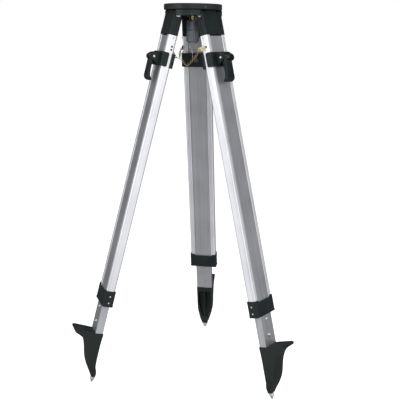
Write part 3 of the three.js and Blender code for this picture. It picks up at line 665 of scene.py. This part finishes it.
def links(path, pitch=6.4, wire=0.92, half_w=2.6, phase=0.0, twist=0.0):
    """Oval links along a path, each turned a quarter from the last."""
    pts = smooth_path(path, 24)
    d = [0.0]
    for a, b in zip(pts[:-1], pts[1:]):
        d.append(d[-1] + (b - a).length)
    total = d[-1]
    n = max(2, round(total / pitch))
    step = total / n

    def at(q):
        q = min(max(q, 0.0), total)
        for i in range(1, len(d)):
            if d[i] >= q:
                f = (q - d[i - 1]) / max(d[i] - d[i - 1], 1e-9)
                return pts[i - 1].lerp(pts[i], f)
        return pts[-1]
    bm = bmesh.new()
    half_l = step / 2 + wire * 1.05
    side = None
    for i in range(n):
        a, b = at(i * step), at((i + 1) * step)
        c, x = (a + b) / 2, (b - a).normalized()
        ref = side if side is not None else (Vector((0, 0, 1)) if abs(x.z) < 0.8 else Vector((0, 1, 0)))
        y = (ref - x * ref.dot(x)).normalized()
        side = y
        z = x.cross(y)
        ang = math.radians(45 + 90 * (i % 2) + phase + 14 * math.sin(i * 1.7 + twist))
        w = y * math.cos(ang) + z * math.sin(ang)
        loop = []
        m = 7
        for q in range(m):
            t = math.radians(-90 + 180 * q / (m - 1))
            loop.append(c + x * (half_l - half_w * 0.92 + half_w * 0.92 * math.cos(t)) + w * half_w * math.sin(t))
        for q in range(m):
            t = math.radians(90 + 180 * q / (m - 1))
            loop.append(c + x * (-(half_l - half_w * 0.92) + half_w * 0.92 * math.cos(t)) + w * half_w * math.sin(t))
        sweep(loop, wire, 7, True, bm)
    return bm, total


MM1 = Matrix.Identity(4)
J = to_row((-40.5, 17, 920))
EYE = {"back": leg_point("back", -43.4, -17.5, 90), "right": leg_point("right", 43.4, -17.5, 92), "left": leg_point("left", 33, -18.5, 94)}
eb, er, el = EYE["back"], EYE["right"], EYE["left"]
STRAND = {
    "back": [eb, Vector((eb.x - 0.4, (eb.y * 2 + J.y) / 3, (eb.z * 2 + J.z) / 3 - 4)), J + Vector((0, 7, 0.4))],
    "left": [el, leg_point("left", 33.4, -33, 95.0), leg_point("left", 34.6, -45, 107.0), J + Vector((-2.6, -7, -2))],
    "right": [er, to_row((17, -44, 926)), to_row((4, -25, 914)), to_row((-8, -10, 903)), to_row((-17, 2, 899)), to_row((-26, 10, 906)), J + Vector((6.4, -3.4, -3.6))],
}
CHAIN_LENGTH = {}
for k, path in STRAND.items():
    bm, total = links(path, twist={"back": 0, "left": 2, "right": 4}[k])
    CHAIN_LENGTH[k] = total
    me = mesh_of(bm, "chain_links_" + k)
    me.transform(Matrix.Scale(0.001, 4))
    for p in me.polygons:
        p.use_smooth = True
    o = bpy.data.objects.new("chain_links_" + k, me)
    bpy.context.scene.collection.objects.link(o)
    me.materials.append(MAT["chain"])
    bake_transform(o)
    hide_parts("chain_" + k)

bm = bmesh.new()
sweep([(5 * math.cos(2 * math.pi * i / 32), 5 * math.sin(2 * math.pi * i / 32), 0) for i in range(32)], 0.95, 10, True, bm)
turned(bm, Matrix.Rotation(0.25, 4, "Z") @ Matrix.Rotation(math.radians(90), 4, "Y"))
turned(bm, Matrix.Translation(J))
place("chain_split_ring", bm, MAT["chain"], MM1, "head", ["chain_ring"])


# --------------------------------------------------------------------------
# legs
# --------------------------------------------------------------------------
def rail_profile(sign):
    """Outer extrusion: rounded outer corners, a pin line along each wide face and a bead at the inner lip."""
    R, I, O, H = 6.0, 25.2, 40.0, 12.5
    pts = []

    def arc(cx, cy, r, a0, a1, n):
        for i in range(n + 1):
            a = math.radians(a0 + (a1 - a0) * i / n)
            pts.append((cx + r * math.cos(a), cy + r * math.sin(a)))
    # side face with one shallow line near each edge
    arc(O - R, H - R, R, 0, 90, 9)
    pts.extend([(31.9, H), (31.7, H - 0.55), (31.1, H - 0.55), (30.9, H), (27.4, H), (27.1, H + 0.0)])
    arc(I + 1.3, H - 1.3, 1.3, 90, 180, 4)
    pts.extend([(I, 3.9), (I + 3.4, 3.9), (I + 3.4, -3.9), (I, -3.9)])
    arc(I + 1.3, -H + 1.3, 1.3, 180, 270, 4)
    pts.extend([(27.1, -H), (27.4, -H), (30.9, -H), (31.1, -H + 0.55), (31.7, -H + 0.55), (31.9, -H)])
    arc(O - R, -H + R, R, 270, 360, 9)
    pts.extend([(O, -5.6), (O - 0.35, -5.35), (O - 0.35, -4.95), (O, -4.7), (O, 4.7), (O - 0.35, 4.95), (O - 0.35, 5.35), (O, 5.6)])
    hole = rr(30.4, 38.2, -10.7, 10.7, (4.2, 0.1, 0.1, 4.2), 5)
    if sign < 0:
        pts = [(-x, y) for x, y in pts]
        hole = [(-x, y) for x, y in hole]
    out = []
    for q in pts:
        if not out or (abs(q[0] - out[-1][0]) + abs(q[1] - out[-1][1])) > 0.02:
            out.append(q)
    return out, hole


def dome(r, h, n=24, socket=0.0, flat=0.35):
    """Button head: base on z = 0, sunk a little below it."""
    prof = [(0, -0.8), (r * 0.96, -0.8), (r * 0.96, 0)]
    for i in range(7):
        a = math.radians(90 * i / 6)
        prof.append((r * (flat + (1 - flat) * math.cos(a)), h * math.sin(a)))
    if socket:
        prof += [(socket, h), (socket * 0.92, h - 0.15), (socket * 0.9, h * 0.45), (0, h * 0.35)]
    else:
        prof.append((0, h * 1.03))
    return lathe(prof, n)


def hexagon(r, h, z0=0.0, bore=0.0):
    """Hex head or nut, with turned-down corners at the outer end."""
    out = disc(r, 6, a0=math.radians(30))
    body = prism(out, z0, z0 + h)
    cone = lathe([(0, z0 - 0.1), (r * 1.03, z0 - 0.1), (r * 1.03, z0 + h * 0.62), (r * 0.86, z0 + h + 0.02), (0, z0 + h + 0.02)], 48)
    steps = [(CUT, cone)]
    if bore:
        steps.append((SUB, prism(disc(bore, 24), z0 - 1, z0 + h + 1)))
    return carve(body, *steps)


def once(fn):
    """The same piece on three legs is built once and copied."""
    store = {}

    def get(*a):
        if a not in store:
            store[a] = mesh_of(fn(*a), "store")
        bm = bmesh.new()
        bm.from_mesh(store[a])
        return bm
    return get


@once
def rail_bm(sign):
    out, hole = rail_profile(sign)
    return prism(out, 57.4, 812, 0.35, 1, holes=[hole], to=ALONG, rh=0.3)


@once
def tube_bm():
    w, h, c = 24.6, 11.0, 1.3
    outer = rr(-w, w, -h, h, c, 4)
    hole = rr(-w + 1.8, w - 1.8, -h + 1.8, h - 1.8, 0.6, 2)
    core = prism(outer, 60, 906, 0.3, 1, holes=[hole], to=ALONG)
    steps = []
    for sg in (-1, 1):
        steps.append((ADD, prism(rr(24.0 if sg > 0 else -28.0, 28.0 if sg > 0 else -24.0, -3.4, 3.4, 0.5, 2), 60.4, 822, 0.3, 1, to=ALONG)))
    for s in (832, 877, 122):
        steps.append((SUB, prism(disc(3.4 if s > 200 else 4.4, 20, 0, s), -20, 20, to=FRONT)))
    return carve(core, *steps)


@once
def band_bm():
    lv = [(774.2, 1.4), (774.5, 0.7), (775.2, 0.15), (776, 0), (815.0, 0), (815.6, -0.35), (816.2, -0.8), (818.6, -0.8), (819.3, -0.5), (819.8, 0.1), (820, 0.9)]
    body = prism(rr(-42.3, 42.3, -14.9, 14.9, 5, 10), 0, 0, levels=[(s, i, i) for s, i in lv], to=ALONG)
    steps = []
    # the top edge drops between the two end lips
    for y0, y1 in ((10, 20), (-20, -10)):
        o = [(-29.5, 770), (-27.5, 776.8), (-25.5, 778.6), (-22.5, 779.2), (22.5, 779.2), (25.5, 778.6), (27.5, 776.8), (29.5, 770)]
        steps.append((SUB, prism(o, y0, y1, to=FRONT)))
    steps.append((SUB, prism(rr(-40.35, 40.35, -12.85, 12.85, 6.3, 8), 760, 814, to=ALONG)))
    steps.append((SUB, prism(rr(-28.8, 28.8, -11.5, 11.5, 0.8, 2), 760, 830, to=ALONG)))
    return carve(body, *steps)


@once
def bracket_bm():
    OUT, IN, END = 12.0, -12.5, 57.0
    pts = [(OUT, -4), (OUT, 39), (OUT + 0.5, 39.6), (OUT + 1.4, 41), (OUT + 1.4, 55), (OUT + 1.1, 56.2), (OUT + 0.3, END), (IN, END), (IN, 12), (-9.5, 3)]
    for i in range(13):
        a = math.radians(180 - 90 * i / 12)
        pts.append((9.5 * math.cos(a), -9.5 * math.sin(a)))
    pts += [(4, -8.9), (8, -7.8), (11, -6)]
    body = prism(pts, -40, 40, to=SIDE)
    hull = prism(rr(-40, 40, IN, OUT + 1.4, 4, 8), -20, 60, to=ALONG)
    steps = [(CUT, hull)]
    for sg in (-1, 1):
        a, b = (39.0, 41.0) if sg > 0 else (-41.0, -39.0)
        steps.append((SUB, prism(rr(-1.6, 8.4, 15, 52.4, 1.6, 4), a, b, to=SIDE)))
        steps.append((SUB, prism(rr(-9.4, -5.0, 15, 52.4, 1.4, 4), a, b, to=SIDE)))
    steps.append((SUB, turned(lathe([(0, -22.6), (10.7, -22.6), (10.7, 22.6), (0, 22.6)], 40), RX)))
    steps.append((SUB, prism(rr(-30, 30, -30, 0, 0), -22.6, 22.6, to=SIDE)))
    steps.append((SUB, prism(rr(-30, 0, -30, 10.7, 0), -22.6, 22.6, to=SIDE)))
    steps.append((SUB, prism(rr(-1, 10.2, -30, 5, 0), -22.6, 22.6, to=SIDE)))
    steps.append((SUB, prism(rr(-19, 19, IN - 2, 7, 2, 4), 19, 50, to=ALONG)))
    # panel lines in the wide outer face
    steps.append((SUB, prism(rr(-33, 33, 6, 36.5, 2.5, 5), OUT - 0.7, OUT + 2, to=FRONT)))
    for sg in (-1, 1):
        steps.append((ADD, prism(rr(30.8 if sg > 0 else -37.8, 37.8 if sg > 0 else -30.8, -10.3, 10.3, (4, .8, .8, 4) if sg > 0 else (.8, 4, 4, .8), 5), 54, 83, 0.5, 2, to=ALONG)))
    steps.append((SUB, turned(lathe([(0, -60), (4.35, -60), (4.35, 60), (0, 60)], 28), RX)))
    for sg in (-1, 1):
        steps.append((SUB, turned(lathe([(0, 36.4), (8.95, 36.4), (8.95, 45), (0, 45)], 36), RX if sg > 0 else Matrix.Rotation(math.radians(-90), 4, "Y"))))
    return carve(body, *steps)


@once
def hinge_bolt_bm():
    shaft = lathe([(0, -42.9), (3.6, -42.9), (4, -42.4), (4, 42.2), (3.4, 42.9), (0, 42.9)], 28)
    wash = lathe([(0, -38.0), (8.3, -38.0), (8.5, -37.8), (8.5, -36.9), (8.3, -36.7), (0, -36.7)], 36)
    head = turned(hexagon(7.2, 5.0), Matrix.Translation((0, 0, -38.0)) @ Matrix.Rotation(math.radians(180), 4, "X"))
    return turned(carve(shaft, (ADD, wash), (ADD, head)), RX)


@once
def hinge_nut_bm():
    wash = lathe([(4.3, 36.7), (8.3, 36.7), (8.5, 36.9), (8.5, 37.8), (8.3, 38.0), (4.3, 38.0)], 36, ring=True)
    nut = turned(hexagon(7.2, 4.6, bore=4.3), Matrix.Translation((0, 0, 38.02)))
    return turned(joined(wash, nut), RX)


@once
def foot_bm():
    side = [(-12.4, 906.2), (0, 906.2), (13, 906.0), (24, 904.6), (44, 902.6), (62, 901.0), (67.2, 901.3), (69.2, 903.2), (69.2, 906.6), (66.5, 910.0), (57, 914.6), (48, 919.6),
            (40, 926.4), (33.6, 935), (28, 946), (23, 960), (19.2, 975), (15.2, 990), (10.2, 1004), (3.4, 1018), (-4, 1030), (-10, 1040), (-12.6, 1044.4),
            (-15.5, 1045), (-22, 1045), (-23.5, 1043.6), (-23.2, 1035), (-21.2, 1026), (-17.2, 1016), (-13.6, 1006), (-11.8, 990), (-11.2, 966), (-11.2, 945), (-11.8, 925)]
    front = [(-20, 868), (20, 868), (24.2, 870), (24.7, 880), (24.7, 890), (24.8, 906), (25.0, 930), (25, 962), (24.7, 984), (23.2, 1001), (19.6, 1014), (14.6, 1028), (10.0, 1039), (7.6, 1045.5),
             (-7.6, 1045.5), (-10.0, 1039), (-14.6, 1028), (-19.6, 1014), (-23.2, 1001), (-24.7, 984), (-25, 962), (-25.0, 930), (-24.8, 906), (-24.7, 890), (-24.7, 880), (-24.2, 870)]
    body = prism(spline2(side, 3), -30, 30, to=SIDE)
    steps = [(CUT, prism(spline2(front, 3), -60, 90, to=FRONT))]
    # hollow back on both sides of the middle web
    depth = [(-40, 920), (34, 920), (30.5, 925.4), (27.5, 931), (24, 938.6), (21, 946), (18, 954), (15.5, 962), (13.4, 971), (11.5, 980), (9, 988.4), (6, 996), (2.6, 1003.6), (-1, 1010), (-5, 1016.6), (-9, 1023), (-40, 1028)]
    for sg in (-1, 1):
        plan = [(2.2, 924), (10, 923), (18.6, 924), (19.8, 930), (20.4, 945), (20.2, 960), (18.8, 982), (14.8, 1000), (9.4, 1015), (5.4, 1021), (2.6, 1021.5), (2.0, 1012), (2.0, 970)]
        plan = spline2([(sg * t, s) for t, s in plan], 3)
        pocket = carve(prism(plan, -40, 60, to=FRONT), (CUT, prism(depth, -30, 30, to=SIDE)))
        steps.append((SUB, pocket))
    # knurled tread: rows of pyramids left by crossed grooves
    for i in range(10):
        h0 = 24.5 + i * 4.6
        s0 = 904.75 - (h0 - 24) * 0.0925
        steps.append((SUB, prism([(h0 - 0.9, s0 - 1.6), (h0 + 0.9, s0 - 1.6), (h0, s0 + 0.95)], -40, 40, to=SIDE)))
    for i in range(9):
        t0 = -20 + i * 5.0
        cut = prism([(t0 - 0.9, -1.6), (t0 + 0.9, -1.6), (t0, 0.95)], 0, 60, to=lambda t, d, q: (t, 22 + q * 0.9957, -(905.0 + d - q * 0.0925)))
        steps.append((SUB, cut))
    # scoops above the point on the inner face
    for sg in (-1, 1):
        ball = bmesh.new()
        bmesh.ops.create_icosphere(ball, subdivisions=4, radius=1.0)
        turned(ball, Matrix.Translation((sg * 6.6, -20.5, -1013)) @ Matrix.Diagonal((4.6, 7.0, 10.5, 1)))
        steps.append((SUB, ball))
    # tongue inside the tube, with the two bolt holes, and the socket of the point
    steps.append((ADD, prism(rr(-22.4, 22.4, -8.8, 8.8, 0.8, 3), 816, 909, 0.5, 2, to=ALONG)))
    for s in (832, 877):
        steps.append((SUB, prism(disc(3.35, 20, 0, s), -20, 20, to=FRONT)))
    steps.append((SUB, prism(disc(4.35, 24, 0, -18.5), 1037, 1052, to=ALONG)))
    return carve(body, *steps)


@once
def point_bm():
    T = -1064
    prof = [(0, T), (0.5, T + 0.1), (1.0, T + 0.6), (3.6, T + 6.0), (5.9, T + 10.6), (6.3, T + 11.6), (6.4, T + 12.4), (6.4, T + 17.6), (6.2, T + 18.3), (5.6, T + 18.6), (4, T + 18.6), (4, T + 25.7), (3.7, T + 26), (0, T + 26)]
    return turned(lathe(prof, 40), Matrix.Translation((0, -18.5, 0)))


@once
def foot_bolt_bm():
    """Button head in a dished washer outside, hex nut inside the leg."""
    head = dome(4.6, 2.6, 32, 1.9)
    turned(head, Matrix.Translation((0, 0, 0.55)))
    wash = lathe([(3.2, 0.0), (6.2, 0.0), (6.6, 0.25), (6.6, 0.7), (6.1, 1.1), (5.0, 0.8), (4.0, 0.35), (3.2, 0.35)], 40, ring=True)
    outer = turned(joined(head, wash), Matrix.Translation((0, 11.02, 0)) @ Matrix.Rotation(math.radians(-90), 4, "X"))
    nut = turned(hexagon(5.0, 2.8, 0.0), Matrix.Translation((0, -11.1, 0)) @ Matrix.Rotation(math.radians(90), 4, "X"))
    shaft = turned(lathe([(0, -14.4), (2.7, -14.4), (3, -14.1), (3, 11.0), (0, 11.0)], 24), Matrix.Rotation(math.radians(-90), 4, "X"))
    return joined(outer, carve(nut, (ADD, shaft)))


@once
def lever_bm():
    prof = [(31, 113.8), (34.4, 113.8), (37.8, 115.8), (40.0, 119.4), (41.0, 124.5), (41.2, 136), (40.8, 150), (39.8, 163), (38.3, 174), (35.6, 181.6), (31.2, 185.6), (27.2, 186.4),
            (24.2, 184.6), (23.4, 181.0), (25.4, 178.4), (28.0, 176.4), (30.0, 172.4), (31.6, 163), (32.4, 150), (32.4, 138), (31.2, 131.4), (27.6, 128.2), (25.2, 123.4), (25.3, 119), (27.6, 115.6)]
    body = prism(spline2(prof, 4), -17.3, 17.3, to=SIDE)
    face = [(-17.3, 108), (17.3, 108), (17.3, 150), (16, 178), (15, 184), (12.5, 188), (-12.5, 188), (-15, 184), (-16, 178), (-17.3, 150)]
    crown = [(-18 + 1.8 * i, 41.3 - (-18 + 1.8 * i) ** 2 / 66) for i in range(21)] + [(18, 0), (-18, 0)]
    steps = [(CUT, prism(face, 10, 60, to=FRONT)), (CUT, prism(crown, 100, 200, to=ALONG))]
    for t in (-9.9, -3.3, 3.3, 9.9):
        y = 41.3 - (t * t) / 66
        groove = [(y - 0.9, 136), (48, 134), (48, 181), (y - 5.6, 175.5), (y - 3.4, 168), (y - 1.9, 159), (y - 1.0, 150)]
        steps.append((SUB, prism(groove, t - 1.5, t + 1.5, 0.5, 2, to=SIDE)))
    steps.append((SUB, prism([(10, 105), (50, 105), (50, 129.6), (40.4, 131.4), (34, 134), (10, 134)], -6.2, 6.2, to=SIDE)))
    # long shallow panel in each cheek
    panel = spline2([(34.9, 140), (38.9, 140), (38.8, 150), (37.8, 163), (36.2, 173), (34.2, 175), (33.2, 172), (33.9, 163), (34.8, 150)], 3)
    steps.append((SUB, prism(panel, 15.9, 20, to=SIDE)))
    steps.append((SUB, prism(panel, -20, -15.9, to=SIDE)))
    steps.append((SUB, turned(lathe([(0, -40), (3.35, -40), (3.35, 40), (0, 40)], 24), Matrix.Translation((0, 34, -122)) @ RX)))
    return carve(body, *steps)


@once
def lever_pin_bm():
    prof = [(0, -25.5), (1.6, -25.7), (2.4, -26), (2.9, -25.7), (3, -25.2), (3, 25.2), (2.9, 25.7), (2.4, 26), (1.6, 25.7), (0, 25.5)]
    return turned(lathe(prof, 28), Matrix.Translation((0, 34, -122)) @ RX)


@once
def eye_tab_bm(side):
    """Pressed tab on a side face: riveted to the rail, its eye standing off the inner edge. side is +1 or -1."""
    out = [(3.2, 90)] + [(-4 + 6.8 * math.cos(math.radians(a)), 90 + 6.8 * math.sin(math.radians(a))) for a in range(15, 91, 15)]
    out += [(-14, 95.4)] + [(-17.5 + 5.4 * math.cos(math.radians(a)), 90 + 5.4 * math.sin(math.radians(a))) for a in range(90, 271, 15)] + [(-14, 84.6)]
    out += [(-4 + 6.8 * math.cos(math.radians(a)), 90 + 6.8 * math.sin(math.radians(a))) for a in range(-90, -14, 15)]
    a, b = (40.05, 41.5) if side > 0 else (-41.5, -40.05)
    tab = prism(out, a, b, 0.3, 2, holes=[disc(2.7, 20, -17.5, 90)], to=SIDE)
    riv = turned(dome(3.1, 1.7, 24, 1.2), Matrix.Translation((side * 41.5, -4, -90)) @ Matrix.Rotation(math.radians(90 * side), 4, "Y"))
    return joined(tab, riv)


@once
def wire_eye_bm(t, h, s, turn):
    """Small wire eye that the last chain link hangs in."""
    bm = sweep([(3.4 * math.cos(2 * math.pi * i / 24), 3.4 * math.sin(2 * math.pi * i / 24), 0) for i in range(24)], 0.8, 8, True)
    return turned(bm, Matrix.Translation((t, h, -s)) @ Matrix.Rotation(math.radians(turn), 4, "Z") @ Matrix.Rotation(math.radians(90), 4, "X"))


for k in LEGS:
    M, up, low = LM[k], "upper_leg_" + k, "lower_leg_" + k
    for tag, sg in (("a", 1), ("b", -1)):
        place("extrusion_%s_%s" % (k, tag), rail_bm(sg), MAT["rail_" + k], M, up, ["rail_%s_%s" % (k, tag)])
        # fixing rivets that hold the rail on the bracket spigot
        for i, (s, h) in enumerate(((64, -1),)):
            r = turned(dome(2.5, 1.0, 24), Matrix.Translation((sg * 40.0, h, -s)) @ Matrix.Rotation(math.radians(90 * sg), 4, "Y"))
            place("rail_rivet_%s_%s_%d" % (k, tag, i), r, MAT["steel"], M, up)
        for i, s in enumerate((789.5, 808.5)):
            r = turned(dome(2.6, 1.3, 24), Matrix.Translation((sg * 42.3, 0, -s)) @ Matrix.Rotation(math.radians(90 * sg), 4, "Y"))
            place("band_rivet_%s_%s_%d" % (k, tag, i), r, MAT["steel"], M, up)
    place("inner_tube_" + k, tube_bm(), MAT["tube_" + k], M, low, ["slide_tube_" + k])
    place("band_" + k, band_bm(), MAT["plastic"], M, up, ["guide_band_" + k], bevel=0.35, seg=2)
    place("bracket_" + k, bracket_bm(), MAT["plastic"], M, up, ["hinge_bracket_" + k], bevel=0.45, seg=2)
    place("pivot_bolt_" + k, hinge_bolt_bm(), MAT["steel"], M, "head", ["hinge_bolt_" + k], bevel=0.15, seg=1)
    place("pivot_nut_" + k, hinge_nut_bm(), MAT["steel"], M, "head", ["hinge_nut_" + k], bevel=0.15, seg=1)
    place("shoe_" + k, foot_bm(), MAT["foot"], M, low, ["foot_" + k], bevel=0.6, seg=2)
    place("spike_" + k, point_bm(), MAT["point"], M, low, ["foot_point_" + k])
    for tag, s in (("upper", 832), ("lower", 877)):
        place("shoe_bolt_%s_%s" % (k, tag), turned(foot_bolt_bm(), Matrix.Translation((0, 0, -s))), MAT["steel"], M, low, ["foot_bolt_%s_%s" % (k, tag)])
    place("cam_lever_" + k, lever_bm(), MAT["plastic"], M, "lever_" + k, ["clamp_lever_" + k], bevel=0.7, seg=3)
    place("cam_pin_" + k, lever_pin_bm(), MAT["steel"], M, low, ["lever_pin_" + k])

place("eye_tab_right", eye_tab_bm(1), MAT["chain"], LM["right"], "upper_leg_right", bevel=0)
place("eye_tab_back", eye_tab_bm(-1), MAT["chain"], LM["back"], "upper_leg_back", bevel=0)
place("eye_wire_left", wire_eye_bm(33, -15.4, 94, 90), MAT["chain"], LM["left"], "upper_leg_left")
for k, tag, t, h, s in (("left", "upper", -1, -3, 87), ("left", "lower", -1, -3, 95.5), ("right", "upper", 1, 4.5, 88), ("back", "upper", -1, -5, 62.5)):
    r = turned(dome(2.7, 1.9, 24, 1.3), Matrix.Translation((t * 40.0, h, -s)) @ Matrix.Rotation(math.radians(90 * t), 4, "Y"))
    place("stop_screw_%s_%s" % (k, tag), r, MAT["casting"], LM[k], "upper_leg_" + k)


# small rounding on the CAD solids that stay on show
for name, o in N.items():
    if o.hide_render:
        continue
    w = o.modifiers.new("weld", "WELD")
    w.merge_threshold = 0.00002
    d = o.modifiers.new("flat", "DECIMATE")
    d.decimate_type = "DISSOLVE"
    d.angle_limit = math.radians(2.0)
    b = o.modifiers.new("round", "BEVEL")
    b.width = 0.0005
    b.segments = 2
    b.limit_method = "ANGLE"
    b.angle_limit = math.radians(35.0)
    wn = o.modifiers.new("shade", "WEIGHTED_NORMAL")
    wn.keep_sharp = False

# --------------------------------------------------------------------------
# floor, light
# --------------------------------------------------------------------------
def floor():
    me = bpy.data.meshes.new("floor")
    me.from_pydata([(-120, -120, 0), (120, -120, 0), (120, 120, 0), (-120, 120, 0)], [], [(0, 1, 2, 3)])
    o = bpy.data.objects.new("floor", me)
    bpy.context.scene.collection.objects.link(o)
    t = Tree("floor_pale")
    n = t.noise(t.coords(), 3.0, 3.0)
    t.colour(t.ramp(n, [(0.3, (0.86, 0.86, 0.86)), (0.7, (0.89, 0.89, 0.89))]))
    t.b.inputs["Roughness"].default_value = 0.9
    t.b.inputs["Specular IOR Level"].default_value = 0.1
    t.b.inputs["Emission Color"].default_value = (1, 1, 1, 1)
    t.b.inputs["Emission Strength"].default_value = 0.62
    me.materials.append(t.m)
    o.location.z = -0.0008
    o.visible_diffuse = False
    o.visible_glossy = False

floor()


def area(name, loc, target, size, energy, colour=(1, 1, 1), size_y=None):
    l = bpy.data.lights.new(name, "AREA")
    l.shape = "RECTANGLE"
    l.size, l.size_y = size, size_y or size
    l.energy = energy
    l.color = colour
    o = bpy.data.objects.new(name, l)
    o.location = loc
    o.rotation_euler = (Vector(target) - Vector(loc)).to_track_quat("-Z", "Y").to_euler()
    bpy.context.scene.collection.objects.link(o)
    return o


area("key", (0.5, -3.2, 2.4), (0, 0, 0.5), 1.6, 30.0)
area("top", (0.0, 0.2, 3.8), (0, 0, 0), 2.6, 42.0)
area("strip", (-1.75, -1.75, 1.15), (0, -0.08, 1.0), 0.5, 5.5, size_y=1.1)

w = bpy.data.worlds.new("studio")
bpy.context.scene.world = w
w.use_nodes = True
nt = w.node_tree
nt.nodes.clear()
out = nt.nodes.new("ShaderNodeOutputWorld")
tc = nt.nodes.new("ShaderNodeTexCoord")
sep = nt.nodes.new("ShaderNodeSeparateXYZ")


def wrange(sock, f0, f1, t0, t1, smooth=True):
    x = nt.nodes.new("ShaderNodeMapRange")
    x.interpolation_type = "SMOOTHSTEP" if smooth else "LINEAR"
    x.inputs["From Min"].default_value = f0
    x.inputs["From Max"].default_value = f1
    x.inputs["To Min"].default_value = t0
    x.inputs["To Max"].default_value = t1
    nt.links.new(sock, x.inputs["Value"])
    return x.outputs["Result"]


def wmath(op, a, b):
    x = nt.nodes.new("ShaderNodeMath")
    x.operation = op
    for i, v in enumerate((a, b)):
        if isinstance(v, float):
            x.inputs[i].default_value = v
        else:
            nt.links.new(v, x.inputs[i])
    return x.outputs[0]


# a bright front and sides, a dimmer back, and a soft fall-off towards the floor
front = wrange(sep.outputs["Y"], 0.40, -0.35, 0.0, 1.0)
low = wrange(sep.outputs["Z"], -0.30, -0.62, 0.0, 1.0)
mid = wrange(wmath("ABSOLUTE", sep.outputs["X"], 0.0), 0.30, 0.75, 0.0, 1.0)
right = wrange(sep.outputs["X"], -0.5, 0.9, 0.0, 1.0)
back_level = wmath("ADD", wmath("MULTIPLY", right, 0.16), 0.17)
front_level = wmath("MULTIPLY", wmath("ADD", wmath("MULTIPLY", mid, 0.55), 0.68), wmath("SUBTRACT", 1.0, wmath("MULTIPLY", low, 0.45)))
level = wmath("ADD", wmath("MULTIPLY", front, front_level), back_level)
bg = nt.nodes.new("ShaderNodeBackground")
white = nt.nodes.new("ShaderNodeBackground")
white.inputs["Color"].default_value = (1, 1, 1, 1)
white.inputs["Strength"].default_value = 1.0
lp = nt.nodes.new("ShaderNodeLightPath")
mx = nt.nodes.new("ShaderNodeMixShader")
nt.links.new(tc.outputs["Generated"], sep.inputs[0])
nt.links.new(level, bg.inputs["Strength"])
nt.links.new(lp.outputs["Is Camera Ray"], mx.inputs[0])
nt.links.new(bg.outputs[0], mx.inputs[1])
nt.links.new(white.outputs[0], mx.inputs[2])
nt.links.new(mx.outputs[0], out.inputs["Surface"])

sc = bpy.context.scene
sc.view_settings.view_transform = "Standard"
sc.view_settings.look = "None"
